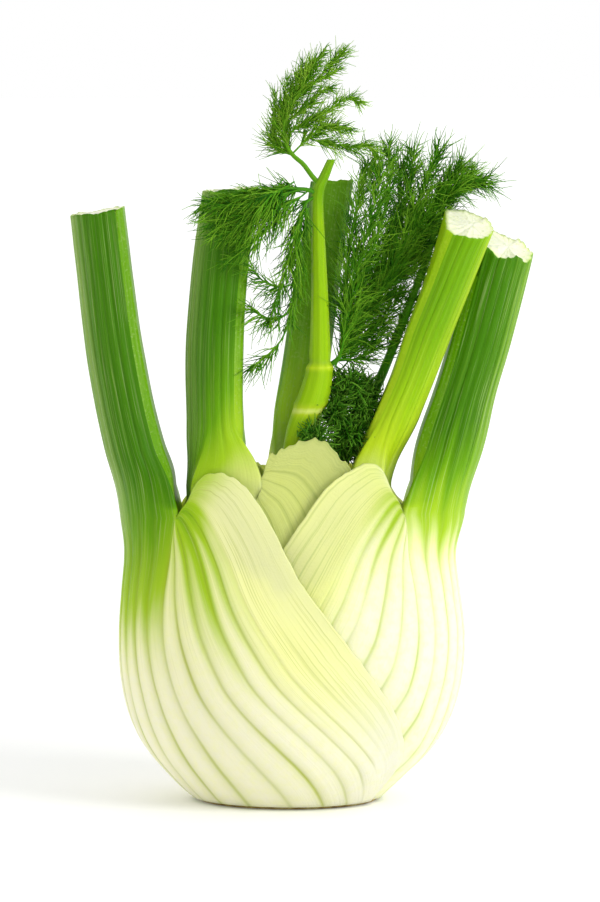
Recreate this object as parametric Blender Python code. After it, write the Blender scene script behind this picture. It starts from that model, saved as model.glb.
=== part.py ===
"""A fennel bulb: overlapping ribbed leaf bases on a short cut stem, cut leaf stalks and feathery fronds.

The origin is the centre of the flat cut base, +Z runs up the bulb and the front faces -Y.
Shapes are worked out in millimetres and scaled to metres when a mesh is made.
"""

import math
import random
from collections import namedtuple

import bmesh
import bpy
from mathutils import Vector

MM = 0.001

# Driving dimensions, in millimetres and degrees.
BASE_HEIGHT = 1.2        # visible rim of the cut stem
LEAF_START = 1.5         # height at which the leaf bases leave the stem
STEM_CORE_TOP = 18.0     # height of the stem's hidden core
STEM_CORE_WIDTH = 9.5    # half-width of that core
STEM_CORE_DEPTH = 2.8    # half-depth of that core
OUTER_GAP = 0.95         # clear space between the two outer leaf bases
INNER_GAP = 1.1          # clear space between the leaf bases inside them
MARGIN_THICKNESS = 0.9   # a leaf base at its free margin
RIB_HEIGHT = 0.44        # how far a rib stands out
RIBS_EACH_SIDE = 12      # ribs from a leaf's midrib to its margin
STALK_RIBS = 5           # of those, the ribs that run up into the stalk
COVER_START = 7.0        # angle past a margin at which the leaf below starts to rise
COVER_FADE = 22.0        # angle over which it rises to the bulb's surface
RIB_FADE_TOP = 0.125     # share of a leaf base below its corner over which the ribs fade
RIB_FADE_SIDE = 0.1      # share of a leaf base beside its margin over which they fade
STALK_BLEND = 20.0       # height over which a leaf base turns into its round stalk
STALK_SWEEP = 118.0      # angle round a stalk from its back to the edge of its flatter inner face
STALK_RELIEF = 0.06      # depth of the grooves along a stalk, as a share of its half-width
INNER_FLATNESS = 0.72    # where that face is cut off, as a share of a round stalk's half-width
CUT_BEND = 6             # the higher, the nearer to its cut a stalk's rows start to tilt with it

# The bulb's outline: height, half-width to the left, half-width to the right, half-depth.
OUTLINE = [
    (0.0, 28.0, 25.5, 18.5),
    (4.0, 32.8, 29.6, 22.5),
    (9.0, 37.6, 34.8, 26.2),
    (14.0, 41.8, 40.0, 29.2),
    (20.0, 45.5, 44.2, 31.8),
    (28.0, 48.5, 47.8, 33.8),
    (38.0, 50.3, 50.1, 34.4),
    (50.0, 50.6, 50.5, 32.5),
    (62.0, 49.8, 49.0, 28.5),
    (73.0, 49.0, 47.9, 24.0),
    (84.0, 50.0, 50.2, 20.5),
    (95.0, 50.5, 50.5, 17.6),
    (108.0, 50.5, 50.5, 16.0),
]

# A leaf faces one way (degrees round the bulb, 0 at +X) and turns towards its front side.
# edge: angle of the stalk's edge line at even steps up the leaf base; margin: the free margin as
# (angle, height) at the same kind of steps, ending at the corner where the stalk leaves the base.
# wall: height, thickness at the midrib, angle over which it thins to the margin's thickness.
# stalk: height, centre x and y, half-width, half-depth. cut: rise of the cut face towards +X and +Y.
Leaf = namedtuple("Leaf", "name facing turn corner front_edge front_margin back_edge back_margin "
                          "wall stalk cut ribs inside gap")

OUTER_WALL = [(0, 4.5, 130), (20, 7.5, 125), (40, 9.0, 118), (60, 10.5, 95), (75, 13.5, 62),
              (84, 16.4, 48), (110, 16.4, 48)]
INNER_WALL = [(0, 2.6, 130), (30, 6.5, 120), (60, 8.5, 105), (80, 12.0, 85), (92, 15.5, 72),
              (110, 15.5, 72)]

OUTER_LEFT = Leaf(
    "outer_left_leaf", 180, 1, 84.0,
    front_edge=[65, 60, 55.5, 50.5, 46.5, 43.5, 42, 42.5, 44.5, 48],
    front_margin=[(155, LEAF_START), (146, 12), (134, 24), (120, 38), (106, 52.5), (93, 67), (81, 85),
                  (70, 95.5), (58, 96), (48, 84)],
    back_edge=[65, 60, 55.5, 50.5, 46.5, 43.5, 42, 42.5, 44.5, 48],
    back_margin=[(150, LEAF_START), (140, 11), (127, 22), (113, 35), (99, 49), (87, 63), (76, 78),
                 (66, 91), (56, 94), (48, 84)],
    wall=OUTER_WALL,
    stalk=[(84, -41.6, 0, 8.6, 14.0), (95, -43.2, 0, 9.4, 12.0), (104, -45.9, 0, 8.9, 10.8),
           (117, -48.9, 0, 8.5, 10.2), (134, -51.8, 0, 8.2, 9.8), (152, -54.0, 0, 8.0, 9.4),
           (171.5, -56.2, 0, 7.8, 9.0)],
    cut=(0.15, 0.02), ribs=True, inside=None, gap=0)

OUTER_RIGHT = Leaf(
    "outer_right_leaf", 0, -1, 85.0,
    front_edge=[65, 60, 55.5, 50.5, 46.5, 44, 43, 43.5, 46, 50],
    front_margin=[(155, LEAF_START), (147, 10), (137, 21), (125, 35), (112, 51), (100, 67), (88, 82),
                  (75, 95), (60, 99.5), (50, 85)],
    back_edge=[65, 60, 55.5, 50.5, 46.5, 43.5, 42, 42.5, 44.5, 48],
    back_margin=[(152, LEAF_START), (143, 9), (131, 19), (118, 31), (104, 46), (92, 60), (81, 75),
                 (70, 88), (58, 93), (48, 85)],
    wall=OUTER_WALL,
    stalk=[(85, 41.8, 1, 8.8, 14.0), (95, 43.8, 1.5, 9.8, 12.0), (106, 46.6, 2, 9.8, 10.8),
           (117, 49.7, 2.5, 9.2, 10.2), (131, 53.9, 3, 9.0, 9.8), (146, 57.8, 3.5, 8.8, 9.4),
           (161.5, 61.6, 4, 8.3, 9.0)],
    cut=(-0.32, 0.34), ribs=True, inside="outer_left_leaf", gap=OUTER_GAP)

INNER_LEFT = Leaf(
    "inner_left_leaf", 180, 1, 92.0,
    front_edge=[65, 63, 61, 59, 58, 59, 62, 66, 71, 77],
    front_margin=[(155, LEAF_START), (151, 14), (147, 28), (142, 42), (136, 57), (129, 73), (122, 88),
                  (116, 98.5), (104, 105.5), (85, 104), (77, 92)],
    back_edge=[65, 63, 61, 59, 58, 57, 56, 57, 58, 60],
    back_margin=[(150, LEAF_START), (146, 12), (140, 25), (132, 39), (122, 53), (110, 67), (98, 81),
                 (84, 94), (70, 98), (60, 92)],
    wall=INNER_WALL,
    stalk=[(92, -22.0, -2, 9.5, 12.5), (101, -21.4, -2, 9.4, 10.2), (110, -22.2, -2.5, 8.4, 9.6),
           (125, -22.5, -2.5, 8.3, 9.4), (140, -22.0, -2.5, 8.3, 9.2), (160, -20.2, -2, 8.2, 8.8),
           (178, -17.7, -1.5, 8.1, 8.4)],
    cut=(0.08, 0.0), ribs=False, inside="outer_right_leaf", gap=INNER_GAP)

INNER_RIGHT = Leaf(
    "inner_right_leaf", 0, -1, 93.0,
    front_edge=[65, 63, 61, 58, 56, 55, 55, 57, 59, 62],
    front_margin=[(150, LEAF_START), (145, 13), (138, 27), (129, 41), (119, 55), (108, 68), (97, 80),
                  (84, 91), (71, 96), (62, 93)],
    back_edge=[65, 62, 59, 56, 53, 51, 50, 50, 50, 50],
    back_margin=[(150, LEAF_START), (145, 12), (138, 25), (128, 39), (117, 53), (105, 67), (92, 81),
                 (78, 93), (62, 98), (50, 93)],
    wall=[(0, 2.6, 130), (30, 6.5, 120), (60, 8.5, 100), (80, 10.5, 75), (93, 12.0, 60), (110, 12.0, 60)],
    stalk=[(93, 24.6, 0, 7.6, 9.0), (101, 26.2, 0.6, 7.3, 8.0), (111, 29.8, -1.2, 6.8, 7.6),
           (124, 35.0, -4, 6.6, 7.4), (138, 39.9, -6.4, 6.8, 7.3), (152, 45.2, -8.5, 6.8, 7.2),
           (168, 50.8, -9.5, 6.9, 7.2)],
    cut=(-0.18, 0.5), ribs=False, inside="inner_left_leaf", gap=INNER_GAP)

CENTRE = Leaf(
    "centre_leaf", 90, 1, 95.0,
    front_edge=[65, 60, 54, 48, 42, 36, 30, 24, 19, 15],
    front_margin=[(145, LEAF_START), (138, 13), (130, 26), (120, 39), (108, 51), (94, 63), (78, 75),
                  (58, 86), (34, 97), (15, 95)],
    back_edge=[65, 60, 54, 48, 42, 36, 30, 24, 19, 15],
    back_margin=[(145, LEAF_START), (138, 13), (130, 26), (120, 39), (108, 51), (94, 63), (78, 75),
                 (58, 86), (34, 97), (15, 95)],
    wall=[(0, 2.2, 130), (30, 6.0, 110), (60, 6.5, 80), (80, 7.5, 40), (95, 8.0, 20), (110, 8.0, 20)],
    stalk=[(95, 0.2, 6.8, 8.2, 4.6), (103, 0.9, 7.6, 7.5, 5.0), (112, 1.8, 8.2, 7.2, 5.6),
           (125, 3.8, 8.4, 7.1, 6.0), (140, 5.8, 8.5, 6.8, 6.0), (158, 8.4, 8.5, 6.5, 5.8),
           (180, 11.6, 8.5, 6.2, 5.5)],
    cut=(0.05, -0.05), ribs=False, inside="inner_right_leaf", gap=INNER_GAP)

LEAVES = {leaf.name: leaf for leaf in (OUTER_LEFT, OUTER_RIGHT, INNER_LEFT, INNER_RIGHT, CENTRE)}

# Steps from the cut base (0) to the corner (1) where rows of points lie on a leaf base.
BASE_STEPS = [0, 0.06, 0.14, 0.23, 0.33, 0.44, 0.55, 0.66, 0.75, 0.83, 0.9, 0.96, 1]
INNER_BASE_STEPS = [0, 0.07, 0.16, 0.26, 0.37, 0.49, 0.55, 0.61, 0.72, 0.82, 0.91, 1]
# Heights above the corner where rows of points lie on a stalk, as shares of the stalk.
STALK_STEPS = [0.06, 0.13, 0.21, 0.32, 0.48, 0.66, 0.84, 1]

# The young leaf: height, centre x and y, half-width, half-depth.
YOUNG_LEAF = [
    (19, -3.0, 0, 3.6, 3.0), (35, -3.0, -1, 6.0, 5.0), (60, -2.5, -2, 6.0, 6.0), (85, -0.5, -3, 4.6, 4.4),
    (100, 0.6, -3, 3.6, 3.4), (109, 2.2, -3, 3.7, 3.4), (116, 5.4, -3.4, 4.6, 3.9),
    (121, 7.0, -3.8, 4.4, 3.8), (126.4, 8.0, -4.2, 3.7, 3.4), (129, 8.1, -4.4, 3.2, 3.0),
    (146, 8.0, -5, 2.5, 2.4), (162, 7.6, -5, 2.0, 1.9), (174, 7.3, -5, 1.7, 1.6),
    (178, 7.6, -5, 1.8, 1.6), (182, 9.4, -5, 1.5, 1.4), (186.5, 11.3, -5, 1.2, 1.2),
]
YOUNG_SIDES = 12

# Fronds: every spray is a curve through hand-placed points (x, y, z) with its radii at the two ends,
# the number of threads along it, their length and the share of its length where they start.
Spray = namedtuple("Spray", "points start_radius end_radius threads length first")
THREAD_RADIUS = 0.5
THREAD_SPREAD = 34.0     # mean angle between a thread and its spray
THREAD_BEND = 0.22       # how far a thread bends towards its spray's tip, as a share of its length
LAST_THREAD = 0.985      # share of a spray's length where its last thread may start
SPRAY_SIDES = 4
THREAD_SIDES = 3

TOP_SPRAYS = [
    Spray([(5.9, -5.0, 181.4), (3.6, -5, 185.2), (0.4, -5, 187.6), (-1.6, -5, 190.8), (-2.3, -4.6, 195.2),
           (-1.2, -4.4, 200.4), (1.7, -4.4, 204.7), (7.5, -4.6, 209.1), (14.0, -5, 212.6)],
          1.0, 0.6, 22, 9.5, 0.36),
    Spray([(-1.2, -4.6, 200.4), (0.6, -3.6, 206.5), (3.2, -3, 214.0)], 0.6, 0.4, 4, 6.0, 0.2),
    Spray([(1.7, -4.4, 204.7), (5.2, -5.8, 211.5), (9.4, -6.6, 217.6)], 0.6, 0.4, 4, 5.5, 0.2),
    Spray([(7.0, -4.6, 208.9), (11.6, -3.6, 213.9), (14.8, -3, 217.6)], 0.6, 0.4, 3, 5.0, 0.2),
    Spray([(-1.8, -4.8, 193.0), (2.4, -6.2, 196.2), (7.5, -7, 198.7), (15.4, -7.4, 203.6),
           (19.4, -7.4, 202.8)], 0.6, 0.4, 5, 6.0, 0.3),
    Spray([(0.2, -5, 188.2), (5.8, -5.4, 193.6), (11.0, -5.6, 196.0), (17.4, -5.6, 194.9)],
          0.6, 0.4, 3, 6.0, 0.35),
    Spray([(4.6, -5.3, 192.6), (9.6, -4, 191.2), (16.8, -3.4, 190.0), (22.0, -3, 190.2), (24.6, -3, 187.0)],
          0.6, 0.4, 3, 5.5, 0.3),
    Spray([(0.8, -5, 187.4), (-3.2, -4.4, 189.2), (-5.6, -4, 192.3), (-5.0, -3.6, 198.0),
           (-4.9, -3.4, 205.5)], 0.6, 0.4, 3, 6.0, 0.4),
]

LEFT_SPRAYS = [
    Spray([(5.2, -6.0, 177.4), (1.0, -8, 178.2), (-5.0, -11, 178.4), (-11.0, -13.0, 177.6),
           (-18.0, -13.6, 176.4), (-25.4, -13.4, 174.4)], 0.9, 0.5, 14, 9.0, 0.25),
    Spray([(-5.0, -11.0, 178.3), (-9.0, -13.0, 173.5), (-14.0, -13.8, 170.0), (-25.0, -14.0, 168.6)],
          0.6, 0.4, 6, 8.0, 0.2),
    Spray([(1.0, -8.0, 178.0), (-2.0, -9.0, 172.0), (-7.0, -11.0, 167.0), (-12.0, -13.6, 162.0),
           (-19.0, -14.4, 157.6)], 0.6, 0.4, 9, 8.0, 0.15),
    Spray([(3.6, -7.0, 177.4), (2.6, -6.4, 168.0), (1.6, -6.0, 158.0), (0.6, -6.0, 148.0),
           (-1.0, -6.0, 138.5)], 0.7, 0.45, 14, 8.0, 0.1),
    Spray([(0.9, -6.0, 151.0), (-4.0, -7.8, 150.0), (-9.0, -9.8, 152.5), (-12.2, -11.8, 156.5)],
          0.55, 0.4, 5, 6.5, 0.2),
    Spray([(0.2, -6.0, 144.0), (-4.0, -7.4, 141.0), (-9.0, -9.6, 142.0), (-12.0, -11.6, 144.5)],
          0.55, 0.4, 6, 6.5, 0.2),
    Spray([(-0.8, -6.0, 139.5), (-3.6, -6.6, 134.0), (-8.0, -7.4, 129.6), (-12.0, -8.0, 126.6)],
          0.55, 0.4, 4, 6.0, 0.3),
]

RIGHT_SPRAYS = [
    Spray([(13.0, -3.6, 128.8), (15.0, -2.5, 132.6), (17.4, -1, 140.0), (19.7, 0, 148.8),
           (23.2, 0.6, 160.4), (26.9, 1, 172.0), (28.6, 1, 182.6), (27.8, 1, 189.6)],
          1.2, 0.5, 22, 10.0, 0.1),
    Spray([(17.4, -1.0, 140.0), (24.1, 0.6, 147.3), (29.9, 1.6, 156.0), (34.2, 2.2, 167.6),
           (38.6, 2, 179.2), (42.4, 1.6, 189.0)], 0.8, 0.5, 18, 10.0, 0.1),
    Spray([(24.1, 0.6, 147.3), (31.3, 3.4, 154.6), (39.4, 4.2, 164.2), (45.4, 2, 175.6), (50.4, 1, 179.6),
           (55.4, 0.6, 180.2)], 0.8, 0.5, 14, 9.0, 0.15),
    Spray([(15.0, -2.5, 132.6), (15.2, -2, 143.0), (16.0, -2, 154.6), (17.4, -2, 166.2), (19.7, -1, 177.8),
           (21.8, 0, 184.6)], 0.7, 0.45, 15, 9.0, 0.1),
    Spray([(15.4, -2.4, 133.2), (21.2, 0, 135.4), (27.0, 2, 141.0), (32.0, 3, 148.0)],
          0.6, 0.45, 7, 8.0, 0.2),
    Spray([(13.4, -3.4, 130.0), (18.0, -1.6, 128.6), (22.4, -1, 131.0), (26.4, 0, 136.0)],
          0.6, 0.4, 5, 7.0, 0.2),
    Spray([(16.4, 5.0, 101.0), (19.4, 4.9, 110.0), (24.4, 4.6, 120.0), (29.4, 4.2, 132.0),
           (34.4, 4.2, 145.0), (39.0, 4.2, 158.0), (42.4, 3.6, 169.6)], 1.9, 1.3, 8, 7.0, 0.6),
]

# The curled frond in the heart: clumps as centre, half-widths and number of needles, on one slim stalk.
TUFT_CLUMPS = [
    ((17.0, -2.0, 120.2), (4.0, 3.2, 4.0), 13),
    ((19.4, -1.8, 115.2), (3.2, 3.0, 3.8), 11),
    ((15.4, -2.4, 108.2), (3.4, 3.0, 4.6), 14),
    ((15.0, -1.4, 114.4), (2.6, 2.8, 4.0), 11),
    ((8.2, -9.4, 104.8), (2.8, 1.0, 2.6), 8),
]
TUFT_CORE = 0.72         # size of a clump's smooth core, as a share of the clump
TUFT_REACH = 1.5         # size of the brush of needles round it, as a share of the clump
TUFT_NEEDLE_RADIUS = 0.7
TUFT_STALK = [(6.0, 0, 18.6), (8.0, 0, 45.0), (9.0, -1, 75.0), (12.5, -1.4, 98.0), (16.0, -2.0, 110.0)]
TUFT_STALK_RADIUS = 1.6
TUFT_TWIG = [(15.5, -3.0, 107.0), (12.0, -6.0, 106.0), (8.0, -8.8, 106.0)]
TUFT_TWIG_RADIUS = 0.9


# Curves and tables.

def read_table(table, key):
    """Values of a table's other columns at a key in its first column, on a smooth curve."""
    key = min(max(key, table[0][0]), table[-1][0])
    low = 0
    while low < len(table) - 2 and key > table[low + 1][0]:
        low += 1

    def slope(index, column):
        before, after = max(index - 1, 0), min(index + 1, len(table) - 1)
        return (table[after][column] - table[before][column]) / (table[after][0] - table[before][0])

    width = table[low + 1][0] - table[low][0]
    t = (key - table[low][0]) / width
    values = []
    for column in range(1, len(table[0])):
        start, end = table[low][column], table[low + 1][column]
        values.append((2 * t**3 - 3 * t**2 + 1) * start + (t**3 - 2 * t**2 + t) * width * slope(low, column)
                      + (3 * t**2 - 2 * t**3) * end + (t**3 - t**2) * width * slope(low + 1, column))
    return values


def along(points, share):
    """A point on the smooth curve through evenly spaced points, at a share of its length."""
    rows = [(index,) + tuple(point) for index, point in enumerate(points)]
    return read_table(rows, share * (len(points) - 1))


def smooth_step(value):
    value = min(max(value, 0.0), 1.0)
    return value * value * (3 - 2 * value)


# The bulb's surface and the nested leaf bases.

def bulb_widths(angle, height):
    """The bulb's half-width on the side an angle points to, and its half-depth."""
    left, right, depth = read_table(OUTLINE, height)
    return (left if math.cos(math.radians(angle)) < 0 else right), depth


def bulb_point(angle, height):
    """A point of the bulb's outer surface, at an angle in degrees round it."""
    across, depth = bulb_widths(angle, height)
    turn = math.radians(angle)
    return across * math.cos(turn), depth * math.sin(turn)


def slant(angle, height):
    """How much longer a way towards the axis is than the same way straight into the bulb."""
    across, depth = bulb_widths(angle, height)
    along_x, along_y = math.cos(math.radians(angle)), math.sin(math.radians(angle))
    reach = math.hypot(across * along_x, depth * along_y)
    return reach * math.hypot(along_x / across, along_y / depth)


def from_midrib(leaf, angle):
    """The signed angle from a leaf's midrib to an angle round the bulb, positive on its front side."""
    return ((angle - leaf.facing) * leaf.turn + 180) % 360 - 180


def wall_thickness(leaf, angle, height):
    middle, reach = read_table(leaf.wall, height)
    limit = math.cos(math.radians(reach))
    share = (math.cos(math.radians(from_midrib(leaf, angle))) - limit) / (1 - limit)
    return MARGIN_THICKNESS * slant(angle, height) + (middle - MARGIN_THICKNESS) * max(share, 0.0)


def margin_angle(leaf, front, height):
    """How far round from the midrib a leaf reaches at a height."""
    margin = leaf.front_margin if front else leaf.back_margin
    rising = [(z, angle) for angle, z in margin[:-2]]
    return read_table(rising, height)[0]


def outer_depth(leaf, angle, height):
    """How deep a leaf's outer surface lies under the bulb's surface."""
    if leaf.inside is None:
        return 0.0
    above = LEAVES[leaf.inside]
    covered = wall_thickness(above, angle, height) + leaf.gap * slant(angle, height)
    if above.inside is not None:
        return outer_depth_unfaded(above, angle, height) + covered
    turned = from_midrib(above, angle)
    past = abs(turned) - margin_angle(above, turned > 0, height) - COVER_START
    return covered * (1 - smooth_step(past / COVER_FADE))


def outer_depth_unfaded(leaf, angle, height):
    """The same depth where the leaf above is taken to reach all the way round."""
    if leaf.inside is None:
        return 0.0
    above = LEAVES[leaf.inside]
    covered = wall_thickness(above, angle, height) + leaf.gap * slant(angle, height)
    return outer_depth_unfaded(above, angle, height) + covered


def sunk_point(angle, height, depth):
    """A point at a depth under the bulb's surface, measured towards its axis."""
    x, y = bulb_point(angle, height)
    share = 1 - depth / math.hypot(x, y)
    return x * share, y * share, height


def base_place(leaf, across, step):
    """The angle from the midrib and the height of a leaf base at a share across it (-1 to 1)."""
    front = across >= 0
    edge_share = STALK_RIBS / RIBS_EACH_SIDE
    edge_angle = along([(angle,) for angle in (leaf.front_edge if front else leaf.back_edge)], step)[0]
    edge_height = LEAF_START + (leaf.corner - LEAF_START) * step
    if abs(across) <= edge_share:
        return edge_angle * across / edge_share, edge_height
    margin_turn, margin_height = along(leaf.front_margin if front else leaf.back_margin, step)
    share = (abs(across) - edge_share) / (1 - edge_share)
    turned = edge_angle + (margin_turn - edge_angle) * share
    height = edge_height + (margin_height - edge_height) * share
    return (turned if front else -turned), height


def rib(across):
    """1 on a rib's crest and 0 halfway between two ribs."""
    return 0.5 + 0.5 * math.cos(2 * math.pi * across * RIBS_EACH_SIDE)


def base_point(leaf, across, step, inner):
    turned, height = base_place(leaf, across, step)
    angle = leaf.facing + leaf.turn * turned
    depth = outer_depth(leaf, angle, height)
    if inner:
        depth += wall_thickness(leaf, angle, height)
    elif leaf.ribs:
        fade = min(1.0, (1 - step) / RIB_FADE_TOP) * min(1.0, (1 - abs(across)) / RIB_FADE_SIDE)
        depth += RIB_HEIGHT * (1 - rib(across)) * fade
    return sunk_point(angle, height, depth)


def stalk_section(leaf, height, across, inner):
    """A point of the stalk's outline at a height: a round back and a flatter inner face."""
    x, y, half_width, half_depth = read_table(leaf.stalk, height)
    edge_share = STALK_RIBS / RIBS_EACH_SIDE
    turn = across / edge_share
    if inner:
        angle = 180 - (180 - STALK_SWEEP) * turn
    else:
        angle = STALK_SWEEP * turn
    from_flat = max(math.cos(math.radians(angle)), -INNER_FLATNESS) + INNER_FLATNESS
    away = 2 * from_flat / (1 + INNER_FLATNESS) - 1
    sideways = math.sin(math.radians(angle))
    if leaf.ribs and not inner:
        relief = 1 - STALK_RELIEF * (1 - rib(across))
        away, sideways = away * relief, sideways * relief
    faces = math.radians(leaf.facing)
    side = faces + leaf.turn * math.pi / 2
    outward = Vector((math.cos(faces) * half_width, math.sin(faces) * half_depth, 0))
    beside = Vector((math.cos(side) * half_width, math.sin(side) * half_depth, 0))
    return Vector((x, y, height)) + outward * away + beside * sideways


def columns(leaf, inner, limit):
    """Shares across a leaf where its columns of points run."""
    fineness = 2 if leaf.ribs and not inner else 1
    count = round(limit * RIBS_EACH_SIDE * fineness)
    return [index / (RIBS_EACH_SIDE * fineness) for index in range(-count, count + 1)]


def leaf_rows(leaf):
    """Closed rows of points from a leaf's foot to its cut, each as its outer and its inner side."""
    edge_share = STALK_RIBS / RIBS_EACH_SIDE
    rows = []
    for step in BASE_STEPS if leaf.ribs else INNER_BASE_STEPS:
        outer = [Vector(base_point(leaf, across, step, False)) for across in columns(leaf, False, 1)]
        inner = [Vector(base_point(leaf, across, step, True)) for across in columns(leaf, True, 1)]
        rows.append((outer, inner))
    outer_across, inner_across = columns(leaf, False, edge_share), columns(leaf, True, edge_share)
    corner_outer = [Vector(base_point(leaf, across, 1, False)) for across in outer_across]
    corner_inner = [Vector(base_point(leaf, across, 1, True)) for across in inner_across]
    foot = Vector((*read_table(leaf.stalk, leaf.corner)[:2], leaf.corner))
    top = leaf.stalk[-1][0]
    for share in STALK_STEPS:
        height = leaf.corner + (top - leaf.corner) * share
        middle = Vector((*read_table(leaf.stalk, height)[:2], height))
        blend = smooth_step((height - leaf.corner) / STALK_BLEND)
        sides = []
        for shares, corner_row, inner in ((outer_across, corner_outer, False),
                                          (inner_across, corner_inner, True)):
            side = []
            for across, corner_point in zip(shares, corner_row):
                carried = corner_point - foot + middle
                point = carried.lerp(stalk_section(leaf, height, across, inner), blend)
                rise = leaf.cut[0] * (point.x - middle.x) + leaf.cut[1] * (point.y - middle.y)
                point.z += rise * share**CUT_BEND
                side.append(point)
            sides.append(side)
        rows.append(tuple(sides))
    return rows


# Meshes.

def add_strip(mesh, first, second):
    """Triangles between two chains of vertices with different counts."""
    i, j = 0, 0
    while i < len(first) - 1 or j < len(second) - 1:
        ahead = (i + 1) / max(len(first) - 1, 1) <= (j + 1) / max(len(second) - 1, 1)
        if j == len(second) - 1 or (ahead and i < len(first) - 1):
            corners = (first[i], first[i + 1], second[j])
            i += 1
        else:
            corners = (first[i], second[j + 1], second[j])
            j += 1
        if len(set(corners)) == 3:
            mesh.faces.new(corners)


def add_band(mesh, lower, upper):
    """Faces between two rows with the same count, leaving out what has shrunk to nothing."""
    for i in range(len(lower) - 1):
        corners = []
        for vertex in (lower[i], lower[i + 1], upper[i + 1], upper[i]):
            if vertex not in corners:
                corners.append(vertex)
        if len(corners) >= 3:
            mesh.faces.new(corners)


def finish_object(mesh, name, color, roughness):
    """Turn a mesh in millimetres into a named object with its own material."""
    bmesh.ops.recalc_face_normals(mesh, faces=mesh.faces)
    if mesh.calc_volume(signed=True) < 0:
        bmesh.ops.reverse_faces(mesh, faces=mesh.faces)
    bmesh.ops.scale(mesh, vec=(MM, MM, MM), verts=mesh.verts)
    data = bpy.data.meshes.new(name)
    mesh.to_mesh(data)
    mesh.free()
    item = bpy.data.objects.new(name, data)
    bpy.context.scene.collection.objects.link(item)
    set_looks(item, name, color, roughness)
    return item


def set_looks(item, name, color, roughness):
    material = bpy.data.materials.new(name)
    material.use_nodes = True
    shader = material.node_tree.nodes["Principled BSDF"]
    shader.inputs["Base Color"].default_value = (*color, 1)
    shader.inputs["Roughness"].default_value = roughness
    shader.inputs["Metallic"].default_value = 0.0
    item.data.materials.clear()
    item.data.materials.append(material)
    item.data.shade_smooth()
    item.data.set_sharp_from_angle(angle=math.radians(40))


def build_leaf(leaf, color):
    mesh = bmesh.new()
    made = {}

    def vertex(point):
        key = tuple(round(value, 3) for value in point)
        if key not in made:
            made[key] = mesh.verts.new(point)
        return made[key]

    rows = [([vertex(point) for point in outer], [vertex(point) for point in inner])
            for outer, inner in leaf_rows(leaf)]
    base_rows = len(rows) - len(STALK_STEPS)
    add_strip(mesh, rows[0][0], rows[0][1])
    for index in range(len(rows) - 1):
        lower, upper = rows[index], rows[index + 1]
        if index == base_rows - 1:
            lower = tuple(trim_to_stalk(side, upper_side) for side, upper_side in zip(lower, upper))
        add_band(mesh, lower[0], upper[0])
        add_band(mesh, lower[1], upper[1])
        add_band(mesh, (lower[0][0], lower[1][0]), (upper[0][0], upper[1][0]))
        add_band(mesh, (lower[0][-1], lower[1][-1]), (upper[0][-1], upper[1][-1]))
    outer, inner = rows[-1]
    ring = outer + inner[::-1]
    centre = vertex(sum((corner.co for corner in ring), Vector()) / len(ring))
    for i, corner in enumerate(ring):
        following = ring[(i + 1) % len(ring)]
        if following is not corner:
            mesh.faces.new((corner, following, centre))
    bmesh.ops.triangulate(mesh, faces=mesh.faces, quad_method="SHORT_EDGE")
    finish_object(mesh, leaf.name, color, 0.45)


def trim_to_stalk(side, upper_side):
    """The middle vertices of a base row, which carry on into the stalk."""
    spare = (len(side) - len(upper_side)) // 2
    return side[spare:len(side) - spare]


def add_tube(mesh, points, radii, sides, pointed):
    """A closed tube through points, ending in a flat cap or in a tip."""
    rings = []
    for index, point in enumerate(points):
        before, after = points[max(index - 1, 0)], points[min(index + 1, len(points) - 1)]
        heading = (after - before).normalized()
        across = heading.cross(Vector((0.13, 1, 0.07))).normalized()
        up = across.cross(heading)
        if pointed and index == len(points) - 1:
            rings.append([mesh.verts.new(point)])
            continue
        ring = []
        for corner in range(sides):
            turn = 2 * math.pi * corner / sides
            away = across * math.cos(turn) + up * math.sin(turn)
            ring.append(mesh.verts.new(point + away * radii[index]))
        rings.append(ring)
    for lower, upper in zip(rings, rings[1:]):
        for i in range(sides):
            following = (i + 1) % sides
            if len(upper) == 1:
                mesh.faces.new((lower[i], lower[following], upper[0]))
            else:
                mesh.faces.new((lower[i], lower[following], upper[following], upper[i]))
    mesh.faces.new(rings[0])
    if not pointed:
        mesh.faces.new(rings[-1])


def spray_point(spray, share):
    return Vector(along(spray.points, share))


def spray_tube(spray):
    count = len(spray.points) + 1
    shares = [index / (count - 1) for index in range(count)]
    radii = [spray.start_radius + (spray.end_radius - spray.start_radius) * share for share in shares]
    return [spray_point(spray, share) for share in shares], radii


def thread_ends(spray, draw):
    """Ends of the threads that leave a spray on alternate sides, leaning towards its tip."""
    for index in range(spray.threads):
        share = spray.first + (1 - spray.first) * (index + draw.uniform(0.1, 0.9)) / spray.threads
        root = spray_point(spray, min(share, LAST_THREAD))
        ahead = spray_point(spray, min(share + 0.02, 1))
        behind = spray_point(spray, max(share - 0.02, 0))
        heading = (ahead - behind).normalized()
        side = heading.cross(Vector((0, 1, 0))).normalized() * (1 if index % 2 else -1)
        side = (side + Vector((0, draw.uniform(-0.75, 0.75), 0))).normalized()
        spread = math.radians(THREAD_SPREAD + draw.uniform(-12, 16))
        away = heading * math.cos(spread) + side * math.sin(spread)
        length = spray.length * draw.uniform(0.6, 1.1) * (1 - 0.35 * share)
        bend = heading * THREAD_BEND + Vector((0, 0, draw.uniform(-0.1, 0.16)))
        yield root, root + (away * 0.92 + bend) * length


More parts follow.
